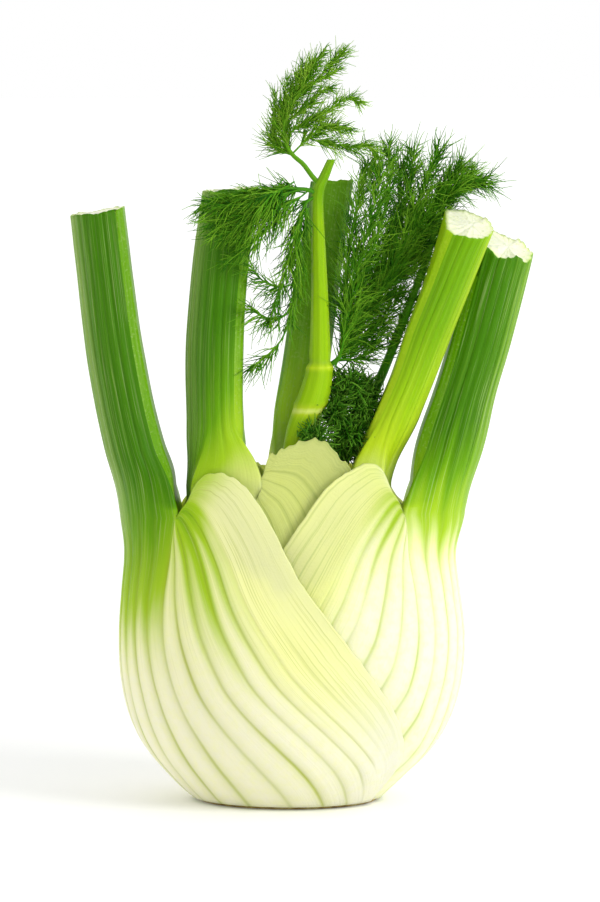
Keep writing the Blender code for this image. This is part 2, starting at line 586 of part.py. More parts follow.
def fuse(name, bodies, color, roughness):
    """Join closed bodies into one by a Boolean union, and keep only the largest piece."""
    group = bpy.data.collections.new(name + "_parts")
    bpy.context.scene.collection.children.link(group)
    first, others = bodies[0], bodies[1:]
    for body in others:
        bpy.context.scene.collection.objects.unlink(body)
        group.objects.link(body)
    union = first.modifiers.new("union", "BOOLEAN")
    union.operation = "UNION"
    union.operand_type = "COLLECTION"
    union.collection = group
    union.solver = "MANIFOLD"
    bpy.context.view_layer.update()
    evaluated = first.evaluated_get(bpy.context.evaluated_depsgraph_get())
    joined = bpy.data.meshes.new_from_object(evaluated)
    first.modifiers.remove(union)
    for body in bodies:
        bpy.data.objects.remove(body, do_unlink=True)
    bpy.data.collections.remove(group)
    mesh = bmesh.new()
    mesh.from_mesh(joined)
    bpy.data.meshes.remove(joined)
    keep_largest(mesh)
    bmesh.ops.triangulate(mesh, faces=mesh.faces)
    bmesh.ops.scale(mesh, vec=(1 / MM, 1 / MM, 1 / MM), verts=mesh.verts)
    return finish_object(mesh, name, color, roughness)


def keep_largest(mesh):
    """Drop loose scraps: every connected piece but the one with most faces."""
    left = set(mesh.faces)
    largest = set()
    while left:
        piece, waiting = set(), [next(iter(left))]
        while waiting:
            face = waiting.pop()
            if face in left:
                left.discard(face)
                piece.add(face)
                waiting.extend(other for edge in face.edges for other in edge.link_faces if other in left)
        largest = max(largest, piece, key=len)
    bmesh.ops.delete(mesh, geom=[face for face in mesh.faces if face not in largest], context="FACES")


def build_frond(name, sprays, seed, color):
    draw = random.Random(seed)
    bodies = []
    for spray in sprays:
        mesh = bmesh.new()
        points, radii = spray_tube(spray)
        add_tube(mesh, points, radii, SPRAY_SIDES, False)
        bodies.append(finish_object(mesh, name + "_body", color, 0.6))
        for points in thread_ends(spray, draw):
            mesh = bmesh.new()
            add_tube(mesh, points, (THREAD_RADIUS, 0), THREAD_SIDES, True)
            bodies.append(finish_object(mesh, name + "_body", color, 0.6))
    fuse(name, bodies, color, 0.6)


def scaled(point, sizes, share):
    return Vector([value * size * share for value, size in zip(point, sizes)])


def build_tuft(name, seed, color):
    """A curled young frond: needles all over clumps with smaller cores, on a slim stalk."""
    draw = random.Random(seed)
    bodies = []
    for points, radius in ((TUFT_STALK, TUFT_STALK_RADIUS), (TUFT_TWIG, TUFT_TWIG_RADIUS)):
        mesh = bmesh.new()
        add_tube(mesh, [Vector(point) for point in points], [radius] * len(points), 6, False)
        bodies.append(finish_object(mesh, name + "_body", color, 0.7))
    golden = math.pi * (3 - math.sqrt(5))
    for centre, sizes, needles in TUFT_CLUMPS:
        mesh = bmesh.new()
        bmesh.ops.create_icosphere(mesh, subdivisions=1, radius=1)
        for corner in mesh.verts:
            corner.co = Vector(centre) + scaled(corner.co, sizes, TUFT_CORE)
        bodies.append(finish_object(mesh, name + "_body", color, 0.7))
        for index in range(needles):
            level = 1 - 2 * (index + 0.5) / needles
            ring = math.sqrt(1 - level * level)
            turn = golden * index + draw.uniform(-0.2, 0.2)
            away = Vector((ring * math.cos(turn), ring * math.sin(turn), level))
            curl = Vector((draw.uniform(-0.3, 0.3), draw.uniform(-0.2, 0.2), 0.2))
            root = Vector(centre) + scaled(away, sizes, TUFT_CORE * 0.6)
            tip = Vector(centre) + scaled(away + curl, sizes, TUFT_REACH * draw.uniform(0.8, 1.1))
            mesh = bmesh.new()
            add_tube(mesh, [root, tip], (TUFT_NEEDLE_RADIUS, 0), THREAD_SIDES, True)
            bodies.append(finish_object(mesh, name + "_body", color, 0.7))
    fuse(name, bodies, color, 0.7)


def build_young_leaf(color):
    mesh = bmesh.new()
    rings = []
    for height, x, y, half_width, half_depth in YOUNG_LEAF:
        ring = []
        for corner in range(YOUNG_SIDES):
            turn = 2 * math.pi * corner / YOUNG_SIDES
            ring.append(mesh.verts.new((x + half_width * math.cos(turn),
                                        y + half_depth * math.sin(turn), height)))
        rings.append(ring)
    for lower, upper in zip(rings, rings[1:]):
        add_band(mesh, lower + lower[:1], upper + upper[:1])
    mesh.faces.new(rings[0])
    mesh.faces.new(rings[-1])
    finish_object(mesh, "young_leaf", color, 0.4)


def build_base(color):
    """The cut stem: a thin rim as wide as the bulb's foot and a hidden core that the leaves sit round."""
    sides = 36
    mesh = bmesh.new()
    rings = []
    for height, inset in ((0.0, 0.5), (BASE_HEIGHT * 0.5, 0.1), (BASE_HEIGHT, 0.3)):
        angles = [360 * index / sides for index in range(sides)]
        rings.append([mesh.verts.new(sunk_point(angle, height, inset)) for angle in angles])
    for height, share in ((BASE_HEIGHT, 1.0), (STEM_CORE_TOP, 0.85)):
        ring = []
        for index in range(sides):
            turn = 2 * math.pi * index / sides
            ring.append(mesh.verts.new((STEM_CORE_WIDTH * share * math.cos(turn),
                                        STEM_CORE_DEPTH * share * math.sin(turn), height)))
        rings.append(ring)
    for lower, upper in zip(rings, rings[1:]):
        add_band(mesh, lower + lower[:1], upper + upper[:1])
    mesh.faces.new(rings[0])
    mesh.faces.new(rings[-1])
    finish_object(mesh, "cut_base", color, 0.8)


def main():
    for item in list(bpy.data.objects):
        bpy.data.objects.remove(item, do_unlink=True)
    pale_green = (0.72, 0.80, 0.46)
    stalk_green = (0.30, 0.52, 0.08)
    young_green = (0.42, 0.62, 0.05)
    frond_green = (0.10, 0.30, 0.02)
    tuft_green = (0.03, 0.14, 0.01)
    build_base((0.55, 0.42, 0.22))
    build_leaf(OUTER_LEFT, pale_green)
    build_leaf(OUTER_RIGHT, pale_green)
    build_leaf(INNER_LEFT, stalk_green)
    build_leaf(INNER_RIGHT, young_green)
    build_leaf(CENTRE, stalk_green)
    build_young_leaf(young_green)
    build_frond("top_frond", TOP_SPRAYS, 3, frond_green)
    build_frond("left_frond", LEFT_SPRAYS, 25, frond_green)
    build_frond("right_frond", RIGHT_SPRAYS, 7, frond_green)
    build_tuft("heart_tuft", 14, tuft_green)


main()
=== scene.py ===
"""The look of the fennel bulb: fine ribbed leaf bases, juicy stalks with cut faces and feathery fronds.

Shapes are worked out in millimetres, in the frame of the solids. make_object scales them to metres.
The tables and formulas for the leaves, the young leaf and the sprays repeat those of the solids.
"""

import math
import random
from collections import namedtuple

import bmesh
import bpy
import numpy as np
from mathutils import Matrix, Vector


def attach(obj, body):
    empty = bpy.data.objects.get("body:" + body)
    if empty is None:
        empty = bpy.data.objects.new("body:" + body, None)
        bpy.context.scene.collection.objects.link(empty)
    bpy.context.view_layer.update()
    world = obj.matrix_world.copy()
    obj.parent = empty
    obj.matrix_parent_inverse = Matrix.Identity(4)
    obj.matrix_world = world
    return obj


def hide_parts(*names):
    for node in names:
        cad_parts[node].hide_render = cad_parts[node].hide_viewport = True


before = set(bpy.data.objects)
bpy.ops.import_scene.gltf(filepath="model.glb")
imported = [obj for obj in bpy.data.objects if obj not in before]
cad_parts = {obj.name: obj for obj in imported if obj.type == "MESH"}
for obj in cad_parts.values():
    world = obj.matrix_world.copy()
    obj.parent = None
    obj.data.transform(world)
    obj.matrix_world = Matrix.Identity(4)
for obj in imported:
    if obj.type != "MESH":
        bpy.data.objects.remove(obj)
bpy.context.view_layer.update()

MM = 0.001

# Leaf bases and stalks.
LEAF_START = 1.5         # height of the leaves' feet
BASE_HEIGHT = 1.2        # height of the cut stem's rim
OUTER_GAP = 0.95         # air between the two outer leaves
INNER_GAP = 1.1          # air between the other leaves
MARGIN_THICKNESS = 0.9   # of a solid leaf base at its margin
RIBS_EACH_SIDE = 12
STALK_RIBS = 5           # of those, the ones that go on into the stalk
EDGE_SHARE = STALK_RIBS / RIBS_EACH_SIDE
COVER_START = -4.0       # a leaf under another's margin rises a little sooner than in the solids
COVER_FADE = 16.0        # and takes so many degrees for it
STALK_BLEND = 20.0       # height over which the top of a base turns into the section of the stalk
STALK_SWEEP = 118.0      # degrees that a stalk's outer side takes up on each side of its middle
INNER_FLATNESS = 0.72    # where a stalk's section is cut flat towards the axis

# The bulb: height, half-widths to the left and to the right, half-depth.
OUTLINE = [
    (0, 28, 25.5, 18.5), (4, 32.8, 29.6, 22.5), (9, 37.6, 34.8, 26.2), (14, 41.8, 40, 29.2),
    (20, 45.5, 44.2, 31.8), (28, 48.5, 47.8, 33.8), (38, 50.3, 50.1, 34.4), (50, 50.6, 50.5, 32.5),
    (62, 49.8, 49, 28.5), (73, 49, 47.9, 24), (84, 50, 50.2, 20.5), (95, 50.5, 50.5, 17.6),
    (108, 50.5, 50.5, 16),
]

Leaf = namedtuple("Leaf", "name facing turn corner front_edge front_margin back_edge back_margin "
                          "wall stalk cut inside gap")

OUTER_WALL = [(0, 4.5, 130), (20, 7.5, 125), (40, 9.0, 118), (60, 10.5, 95), (75, 13.5, 62),
              (84, 16.4, 48), (110, 16.4, 48)]
INNER_WALL = [(0, 2.6, 130), (30, 6.5, 120), (60, 8.5, 105), (80, 12.0, 85), (92, 15.5, 72),
              (110, 15.5, 72)]

OUTER_EDGE = [65, 60, 55.5, 50.5, 46.5, 43.5, 42, 42.5, 44.5, 48]
CENTRE_EDGE = [65, 60, 54, 48, 42, 36, 30, 24, 19, 15]
CENTRE_MARGIN = [(145, LEAF_START), (138, 13), (130, 26), (120, 39), (108, 51), (94, 63), (78, 75), (58, 86),
                 (34, 97), (15, 95)]

OUTER_LEFT = Leaf(
    "outer_left_leaf", 180, 1, 84.0,
    front_edge=OUTER_EDGE,
    front_margin=[(155, LEAF_START), (146, 12), (134, 24), (120, 38), (106, 52.5), (93, 67), (81, 85),
                  (70, 95.5), (58, 96), (48, 84)],
    back_edge=OUTER_EDGE,
    back_margin=[(150, LEAF_START), (140, 11), (127, 22), (113, 35), (99, 49), (87, 63), (76, 78),
                 (66, 91), (56, 94), (48, 84)],
    wall=OUTER_WALL,
    stalk=[(84, -41.6, 0, 8.6, 14.0), (95, -43.2, 0, 9.4, 12.0), (104, -45.9, 0, 8.9, 10.8),
           (117, -48.9, 0, 8.5, 10.2), (134, -51.8, 0, 8.2, 9.8), (152, -54.0, 0, 8.0, 9.4),
           (171.5, -56.2, 0, 7.8, 9.0)],
    cut=(0.15, 0.02), inside=None, gap=0)

OUTER_RIGHT = Leaf(
    "outer_right_leaf", 0, -1, 85.0,
    front_edge=[65, 60, 55.5, 50.5, 46.5, 44, 43, 43.5, 46, 50],
    front_margin=[(155, LEAF_START), (147, 10), (137, 21), (125, 35), (112, 51), (100, 67), (88, 82),
                  (75, 95), (60, 99.5), (50, 85)],
    back_edge=OUTER_EDGE,
    back_margin=[(152, LEAF_START), (143, 9), (131, 19), (118, 31), (104, 46), (92, 60), (81, 75),
                 (70, 88), (58, 93), (48, 85)],
    wall=OUTER_WALL,
    stalk=[(85, 41.8, 1, 8.8, 14.0), (95, 43.8, 1.5, 9.8, 12.0), (106, 46.6, 2, 9.8, 10.8),
           (117, 49.7, 2.5, 9.2, 10.2), (131, 53.9, 3, 9.0, 9.8), (146, 57.8, 3.5, 8.8, 9.4),
           (161.5, 61.6, 4, 8.3, 9.0)],
    cut=(-0.32, 0.34), inside="outer_left_leaf", gap=OUTER_GAP)

INNER_LEFT = Leaf(
    "inner_left_leaf", 180, 1, 92.0,
    front_edge=[65, 63, 61, 59, 58, 59, 62, 66, 71, 77],
    front_margin=[(155, LEAF_START), (151, 14), (147, 28), (142, 42), (136, 57), (129, 73), (122, 88),
                  (116, 98.5), (104, 105.5), (90, 105), (79.5, 101.5), (77, 92)],
    back_edge=[65, 63, 61, 59, 58, 57, 56, 57, 58, 60],
    back_margin=[(150, LEAF_START), (146, 12), (140, 25), (132, 39), (122, 53), (110, 67), (98, 81),
                 (84, 94), (70, 98), (60, 92)],
    wall=INNER_WALL,
    stalk=[(92, -22.0, -2, 9.5, 12.5), (101, -21.4, -2, 9.4, 10.2), (110, -22.2, -2.5, 8.4, 9.6),
           (125, -22.5, -2.5, 8.3, 9.4), (140, -22.0, -2.5, 8.3, 9.2), (160, -20.2, -2, 8.2, 8.8),
           (178, -17.7, -1.5, 8.1, 8.4)],
    cut=(0.08, 0.0), inside="outer_right_leaf", gap=INNER_GAP)

INNER_RIGHT = Leaf(
    "inner_right_leaf", 0, -1, 93.0,
    front_edge=[65, 63, 61, 58, 56, 55, 55, 57, 59, 62],
    front_margin=[(150, LEAF_START), (145, 13), (138, 27), (129, 41), (119, 55), (108, 68), (97, 80),
                  (84, 91), (71, 96), (62, 93)],
    back_edge=[65, 62, 59, 56, 53, 51, 50, 50, 50, 50],
    back_margin=[(150, LEAF_START), (145, 12), (138, 25), (128, 39), (117, 53), (105, 67), (92, 81),
                 (78, 93), (62, 98), (50, 93)],
    wall=[(0, 2.6, 130), (30, 6.5, 120), (60, 8.5, 100), (80, 10.5, 75), (93, 12.0, 60), (110, 12.0, 60)],
    stalk=[(93, 24.6, 0, 7.6, 9.0), (101, 26.2, 0.6, 7.3, 8.0), (111, 29.8, -1.2, 6.8, 7.6),
           (124, 35.0, -4, 6.6, 7.4), (138, 39.9, -6.4, 6.8, 7.3), (152, 45.2, -8.5, 6.8, 7.2),
           (168, 50.8, -9.5, 6.9, 7.2)],
    cut=(-0.18, 0.5), inside="inner_left_leaf", gap=INNER_GAP)

CENTRE = Leaf(
    "centre_leaf", 90, 1, 95.0,
    front_edge=CENTRE_EDGE, front_margin=CENTRE_MARGIN, back_edge=CENTRE_EDGE, back_margin=CENTRE_MARGIN,
    wall=[(0, 2.2, 130), (30, 6.0, 110), (60, 6.5, 80), (80, 7.5, 40), (95, 8.0, 20), (110, 8.0, 20)],
    stalk=[(95, 0.2, 6.8, 8.2, 4.6), (103, 0.9, 7.6, 7.5, 5.0), (112, 1.8, 8.2, 7.2, 5.6),
           (125, 3.8, 8.4, 7.1, 6.0), (140, 5.8, 8.5, 6.8, 6.0), (158, 8.4, 8.5, 6.5, 5.8),
           (180, 11.6, 8.5, 6.2, 5.5)],
    cut=(0.05, -0.05), inside="inner_right_leaf", gap=INNER_GAP)

LEAVES = {leaf.name: leaf for leaf in (OUTER_LEFT, OUTER_RIGHT, INNER_LEFT, INNER_RIGHT, CENTRE)}

# The young leaf: height, centre x and y, half-width, half-depth.
YOUNG_LEAF = [
    (19, -3.0, 0, 3.6, 3.0), (35, -3.0, -1, 6.0, 5.0), (60, -2.5, -2, 6.0, 6.0), (85, -0.5, -3, 4.6, 4.4),
    (100, 0.6, -3, 3.6, 3.4), (109, 2.2, -3, 3.7, 3.4), (116, 5.4, -3.4, 4.6, 3.9),
    (121, 7.0, -3.8, 4.4, 3.8), (126.4, 8.0, -4.2, 3.7, 3.4), (129, 8.1, -4.4, 3.2, 3.0),
    (146, 8.0, -5, 2.5, 2.4), (162, 7.6, -5, 2.0, 1.9), (174, 7.3, -5, 1.7, 1.6),
    (178, 7.6, -5, 1.8, 1.6), (182, 9.4, -5, 1.5, 1.4), (186.5, 11.3, -5, 1.2, 1.2),
]

# Fronds: every spray is a curve through given points (x, y, z) with its radii at the two ends,
# the length of the branchlets along it and the share of its length where they start.
Spray = namedtuple("Spray", "points start_radius end_radius length first")

TOP_SPRAYS = [
    Spray([(8.6, -5, 178.6), (5.9, -5, 181.6), (3.2, -5, 185.2), (0.4, -5, 187.6), (-1.6, -5, 190.8),
          (-2.3, -4.6, 195.2), (-1.2, -4.4, 200.4), (1.7, -4.4, 204.7), (7.5, -4.6, 209.1),
          (14, -5, 212.6)], 1.0, 0.5, 9.5, 0.36),
    Spray([(-1.2, -4.6, 200.4), (0.6, -3.6, 206.5), (3.2, -3, 214)], 0.5, 0.3, 6, 0.1),
    Spray([(1.7, -4.4, 204.7), (5.2, -5.8, 211.5), (9.4, -6.6, 217.6)], 0.5, 0.3, 5.5, 0.1),
    Spray([(7, -4.6, 208.9), (11.6, -3.6, 213.9), (14.8, -3, 217.6)], 0.5, 0.3, 5, 0.1),
    Spray([(-1.8, -4.8, 193), (2.4, -6.2, 196.2), (7.5, -7, 198.7), (15.4, -7.4, 203.6),
          (19.4, -7.4, 202.8)], 0.5, 0.3, 6, 0.1),
    Spray([(0.2, -5, 188.2), (5.8, -5.4, 193.6), (11, -5.6, 196), (17.4, -5.6, 194.9)], 0.5, 0.3, 6, 0.1),
    Spray([(4.6, -5.3, 192.6), (9.6, -4, 191.2), (16.8, -3.4, 190), (22, -3, 190.2), (24.6, -3, 187)],
          0.5, 0.3, 5.5, 0.1),
    Spray([(0.8, -5, 187.4), (-3.2, -4.4, 189.2), (-5.6, -4, 192.3), (-5, -3.6, 198), (-4.9, -3.4, 205.5)],
          0.5, 0.3, 6, 0.1),
]

LEFT_SPRAYS = [
    Spray([(7.4, -5.2, 176.6), (4.6, -6.4, 177.8), (1, -8, 178.2), (-5, -11, 178.4), (-11, -13, 177.6),
          (-18, -13.6, 176.4), (-25.4, -13.4, 174.4)], 0.9, 0.4, 9, 0.25),
    Spray([(-5, -11, 178.3), (-9, -13, 173.5), (-14, -13.8, 170), (-25, -14, 168.6)], 0.5, 0.3, 8, 0.2),
    Spray([(1, -8, 178), (-2, -9, 172), (-7, -11, 167), (-12, -13.6, 162), (-19, -14.4, 157.6)],
          0.5, 0.3, 8, 0.15),
    Spray([(6.6, -5.6, 176), (3.6, -6.6, 173.4), (2.4, -6.4, 166), (1.6, -6, 158), (0.6, -6, 148),
          (-1, -6, 138.5)], 0.6, 0.35, 8, 0.1),
    Spray([(0.9, -6, 151), (-4, -7.8, 150), (-9, -9.8, 152.5), (-12.2, -11.8, 156.5)], 0.5, 0.3, 6.5, 0.2),
    Spray([(0.2, -6, 144), (-4, -7.4, 141), (-9, -9.6, 142), (-12, -11.6, 144.5)], 0.5, 0.3, 6.5, 0.2),
    Spray([(-0.8, -6, 139.5), (-3.6, -6.6, 134), (-8, -7.4, 129.6), (-12, -8, 126.6)], 0.5, 0.3, 6, 0.3),
]

RIGHT_SPRAYS = [
    Spray([(9.6, -4.2, 126.8), (13, -3.6, 128.8), (15, -2.5, 132.6), (17.4, -1, 140), (19.7, 0, 148.8),
          (23.2, 0.6, 160.4), (26.9, 1, 172), (28.6, 1, 182.6), (27.8, 1, 189.6)], 1.0, 0.4, 10, 0.1),
    Spray([(17.4, -1, 140), (24.1, 0.6, 147.3), (29.9, 1.6, 156), (34.2, 2.2, 167.6), (38.6, 2, 179.2),
          (42.4, 1.6, 189)], 0.7, 0.4, 10, 0.1),
    Spray([(24.1, 0.6, 147.3), (31.3, 3.4, 154.6), (39.4, 4.2, 164.2), (45.4, 2, 175.6), (50.4, 1, 179.6),
          (55.4, 0.6, 180.2)], 0.7, 0.4, 9, 0.15),
    Spray([(15, -2.5, 132.6), (15.2, -2, 143), (16, -2, 154.6), (17.4, -2, 166.2), (19.7, -1, 177.8),
          (21.8, 0, 184.6)], 0.6, 0.35, 9, 0.1),
    Spray([(15.4, -2.4, 133.2), (21.2, 0, 135.4), (27, 2, 141), (32, 3, 148)], 0.5, 0.35, 8, 0.2),
    Spray([(13.4, -3.4, 130), (18, -1.6, 128.6), (22.4, -1, 131), (26.4, 0, 136)], 0.5, 0.3, 7, 0.2),
    Spray([(16.4, 5, 101), (19.4, 4.9, 110), (24.4, 4.6, 120), (29.4, 4.2, 132), (34.4, 4.2, 145),
          (39, 4.2, 158), (42.4, 3.6, 169.6)], 2.2, 1.6, 7, 0.45),
]

# More sprays, each between two others of its frond: their numbers, the share of the way and a shift.
TOP_BETWEEN = [(1, 2, 0.5, (0, 0.5, -1)), (1, 4, 0.55, (-1, 0.5, -1)), (7, 1, 0.5, (-0.5, 0, 0))]
LEFT_BETWEEN = [(0, 1, 0.5, (1, -0.4, 0.5)), (0, 1, 0.2, (-1, 0.4, 0)), (1, 2, 0.5, (0, -0.5, 2)),
                (0, 2, 0.6, (2, 0.5, 1)), (3, 2, 0.3, (0, 0, -4)), (0, 1, 0.7, (2, -0.8, 2.5)),
                (1, 2, 0.25, (1, -0.2, 3))]
RIGHT_BETWEEN = [(0, 1, 0.5, (0, 1.5, -1)), (1, 2, 0.5, (0, 1, 0)), (0, 3, 0.5, (0, -2.5, -3)),
                 (1, 4, 0.5, (0, 0, 2)), (0, 1, 0.25, (0, 3, -6)), (1, 2, 0.75, (-1, 0, -2))]

# How a frond grows on its sprays: spacing of the branchlets and their length as a share of the spray's own,
# spacing, length and radius of the threads, how short both get at the tip and how far they hang.
Growth = namedtuple("Growth", "branch_step branch_share thread_step thread_length thread_radius "
                              "tip_share droop")
TOP_GROWTH = Growth(0.4, 0.54, 0.42, 5.6, 0.17, 0.26, 0.0)
LEFT_GROWTH = Growth(0.8, 0.5, 0.5, 7.0, 0.2, 0.5, 0.2)
RIGHT_GROWTH = Growth(0.68, 0.58, 0.46, 7.6, 0.2, 0.55, 0.0)
FROND_SEED = 3
BRANCH_ANGLES, THREAD_ANGLES = (16, 46), (4, 50)                 # degrees from what they grow on
BRANCH_SIZES, THREAD_SIZES = (0.5, 1.1), (0.35, 1.25)            # shares of the length given above

# Clumps of the young frond still curled up in the heart: centre, radii, number of needles.
TUFT_CLUMPS = [
    ((17.4, -1.8, 121.2), (4.6, 3.6, 4.8), 420), ((20.6, -1.6, 114.5), (3.6, 3.2, 5.6), 380),
    ((17.0, -2.6, 107.6), (5.2, 3.8, 6.4), 520), ((12.4, -1.8, 113.4), (4.0, 3.6, 6.0), 380),
    ((6.2, -8.4, 106.6), (3.4, 1.9, 3.8), 260), ((14.4, -1.8, 102.4), (4.2, 3.0, 4.4), 300),
    ((13.4, -1.6, 120.2), (2.8, 2.4, 5.0), 200), ((22.6, -1.0, 118.6), (2.8, 2.4, 5.4), 220),
]
TUFT_STEM = [(6.0, 0, 18.6), (8.0, 0, 45.0), (9.0, -1, 75.0), (12.5, -1.4, 98.0), (14.0, -1.6, 110.0)]
TUFT_LOW, TUFT_HIGH = (1.5, -10.6, 98.0), (26.4, 2.2, 128.0)     # the box that its needles stay in
TUFT_SEED = 14
NEEDLE_LENGTHS, NEEDLE_RADII = (1.3, 3.6), (0.29, 0.13)

# The cut stem: height of each ring and how far it lies inside the bulb's outline.
STEM_RINGS = [(0.0, 22.0), (0.0, 12.0), (0.0, 1.6), (0.12, 1.1), (0.4, 0.95), (0.8, 1.1), (BASE_HEIGHT, 1.6)]
STEM_TOP = 18.0
STEM_CORE = (9.5, 2.8)   # half-width and half-depth of the core that stands on it

# Where ribs lie between a stalk's edge line (0) and the leaf's margin (1).
RIB_SPREAD = [(0, 0), (0.143, 0.143), (0.286, 0.29), (0.43, 0.43), (0.57, 0.54), (0.71, 0.635),
              (0.86, 0.745), (1, 1)]

# The fine relief of the leaves.
BASE_ROWS = 104          # rows of points on a leaf base
STALK_ROWS = 72          # rows of points on a stalk
RIB_SAMPLES = (0.0, 0.035, 0.09, 0.18, 0.33, 0.5, 0.67, 0.82, 0.91, 0.965)
INNER_EVERY = 5          # of those, the columns that the inner side keeps
GROOVE_DEPTH = 0.26      # a groove between two ribs of an outer leaf base
RIB_CROWN = 0.11         # how far a rib's middle stands above its sides
STALK_RIB_RATIO = 1.5    # ribs of a stalk for each one of its base
STALK_GROOVE = 0.035     # depth of its grooves, as a share of its radius
STALK_CROWN = 0.02
SWELL = 0.1              # height of the slow waves along a leaf's surface
FINE_MARGIN = 0.4        # thickness of a leaf base at its very margin
MARGIN_SINK = 0.85       # how far the margin bends down onto the leaf below it
FOOT_DROP = 0.5          # how far the leaves' feet hang over the rim of the cut stem
CUT_RINGS = 14           # rings of points on a cut face

# The view: size of the picture and the place of the bulb's foot in it in pixels, metres for a pixel, the
# distance and the downward tilt of the camera.
PICTURE_WIDTH, PICTURE_HEIGHT = 600, 902
FOOT_X, FOOT_Y = 292, 803
PIXEL = 0.00029
DISTANCE = 1.1
TILT = math.radians(5.5)
SENSOR_WIDTH = 36
LIT_SPOT = (0, 0, 0.1)               # where the lamps point
BRIGHT_SIDE = (0.8, 0.45, 0.35)      # the side from which the surroundings shine most
WHITE = (1.0, 1.0, 1.0, 1.0)
FLOOR_REACH = 60.0


# Curves and tables.

def read_table(table, keys):
    """Values of a table's other columns at keys in its first column, on smooth curves."""
    table = np.asarray(table, float)
    places = table[:, 0]
    keys = np.clip(np.asarray(keys, float), places[0], places[-1])
    low = np.clip(np.searchsorted(places, keys, side="left") - 1, 0, len(table) - 2)
    slopes = np.gradient(table[:, 1:], axis=0) / np.gradient(places)[:, None]
    width = (places[low + 1] - places[low])[..., None]
    t = (keys - places[low])[..., None] / width
    start, end = table[low, 1:], table[low + 1, 1:]
    values = ((2 * t**3 - 3 * t**2 + 1) * start + (t**3 - 2 * t**2 + t) * width * slopes[low]
              + (3 * t**2 - 2 * t**3) * end + (t**3 - t**2) * width * slopes[low + 1])
    return np.moveaxis(values, -1, 0)


def along(points, share):
    """Points on the smooth curve through evenly spaced points, at shares of its length."""
    rows = np.column_stack([np.arange(len(points)), np.asarray(points, float).reshape(len(points), -1)])
    return read_table(rows, np.asarray(share, float) * (len(points) - 1))


def smooth_step(value):
    value = np.clip(value, 0.0, 1.0)
    return value * value * (3 - 2 * value)


def ramp(value, start, end):
    """0 below start, 1 above end and smooth between; start may be the larger one."""
    return smooth_step((value - start) / (end - start))


def hump(value, middle, width):
    """1 in the middle, falling smoothly to 0 on both sides."""
    return np.exp(-((value - middle) / width) ** 2)


# The bulb's surface and the nested leaf bases.

def bulb_widths(angle, height):
    left, right, depth = read_table(OUTLINE, height)
    return np.where(np.cos(np.radians(angle)) < 0, left, right), depth


def bulb_point(angle, height):
    across, depth = bulb_widths(angle, height)
    return across * np.cos(np.radians(angle)), depth * np.sin(np.radians(angle))


def slant(angle, height):
    """How much longer a way towards the axis is than the same way straight into the bulb."""
    across, depth = bulb_widths(angle, height)
    along_x, along_y = np.cos(np.radians(angle)), np.sin(np.radians(angle))
    return np.hypot(across * along_x, depth * along_y) * np.hypot(along_x / across, along_y / depth)


def from_midrib(leaf, angle):
    return ((angle - leaf.facing) * leaf.turn + 180) % 360 - 180


def wall_thickness(leaf, angle, height):
    middle, reach = read_table(leaf.wall, height)
    limit = np.cos(np.radians(reach))
    share = (np.cos(np.radians(from_midrib(leaf, angle))) - limit) / (1 - limit)
    return MARGIN_THICKNESS * slant(angle, height) + (middle - MARGIN_THICKNESS) * np.maximum(share, 0.0)


def margin_angle(margin, height):
    return read_table([(z, angle) for angle, z in margin[:-2]], height)[0]


def depth_below(leaf, angle, height, unfaded):
    """How deep a leaf's outer surface lies under the bulb's surface."""
    if leaf.inside is None:
        return np.zeros_like(height)
    above = LEAVES[leaf.inside]
    covered = wall_thickness(above, angle, height) + leaf.gap * slant(angle, height)
    if unfaded or above.inside is not None:
        return depth_below(above, angle, height, True) + covered
    turned = from_midrib(above, angle)
    reach = np.where(turned > 0, margin_angle(above.front_margin, height),
                     margin_angle(above.back_margin, height))
    return covered * (1 - smooth_step((np.abs(turned) - reach - COVER_START) / COVER_FADE))


def foot_share(step):
    """1 at a leaf's foot, 0 from where its ribs have taken their even spacing."""
    return np.clip(1 - step / 0.4, 0, 1) ** 1.5


def spread_ribs(share, step):
    """Ribs keep their spacing up a leaf base, leave a wide smooth margin and run out into it at the foot."""
    above = read_table(RIB_SPREAD, share)[0]
    at_foot = 1 - (1 - share) ** 2.05
    foot = foot_share(step)
    return above * (1 - foot) + at_foot * foot


def base_place(leaf, across, step):
    """The angle from the midrib and the height of a leaf base at shares across it (-1 to 1)."""
    turned, height = 0, 0
    for side, edge, margin in ((across >= 0, leaf.front_edge, leaf.front_margin),
                               (across < 0, leaf.back_edge, leaf.back_margin)):
        edge_angle = along(edge, step)[0]
        edge_height = LEAF_START + (leaf.corner - LEAF_START) * step
        margin_turn, margin_height = along(margin, step)
        share = (np.abs(across) - EDGE_SHARE) / (1 - EDGE_SHARE)
        outside = share > 0
        share = spread_ribs(np.maximum(share, 0), step)
        bunched = (np.abs(across) / EDGE_SHARE) ** (1 + 0.6 * foot_share(step))
        side_angle = np.where(outside, edge_angle + (margin_turn - edge_angle) * share, edge_angle * bunched)
        side_height = np.where(outside, edge_height + (margin_height - edge_height) * share, edge_height)
        turned = turned + np.where(side, side_angle, 0)
        height = height + np.where(side, side_height, 0)
    return np.where(across >= 0, turned, -turned), height


# What tells the leaves apart in their fine relief: seed of the small variations, depth of the grooves between
# ribs, share across the base beyond which ribs give way to a smooth margin, and how far the margin and the
# cut face are torn.
Relief = namedtuple("Relief", "seed groove smooth_from torn_margin torn_cut")
RELIEFS = {
    "outer_left_leaf": Relief(1, 1.0, 0.95, 0.3, 0.5),
    "outer_right_leaf": Relief(2, 0.9, 0.95, 0.3, 1.3),
    "inner_left_leaf": Relief(3, 0.16, 1.2, 1.0, 0.4),
    "inner_right_leaf": Relief(4, 0.4, 0.95, 0.3, 0.5),
    "centre_leaf": Relief(5, 0.4, 0.95, 0.3, 0.4),
}


def rib_phase(across):
    """Where a column lies among the ribs: whole numbers in grooves, halves on crests."""
    return across * RIBS_EACH_SIDE


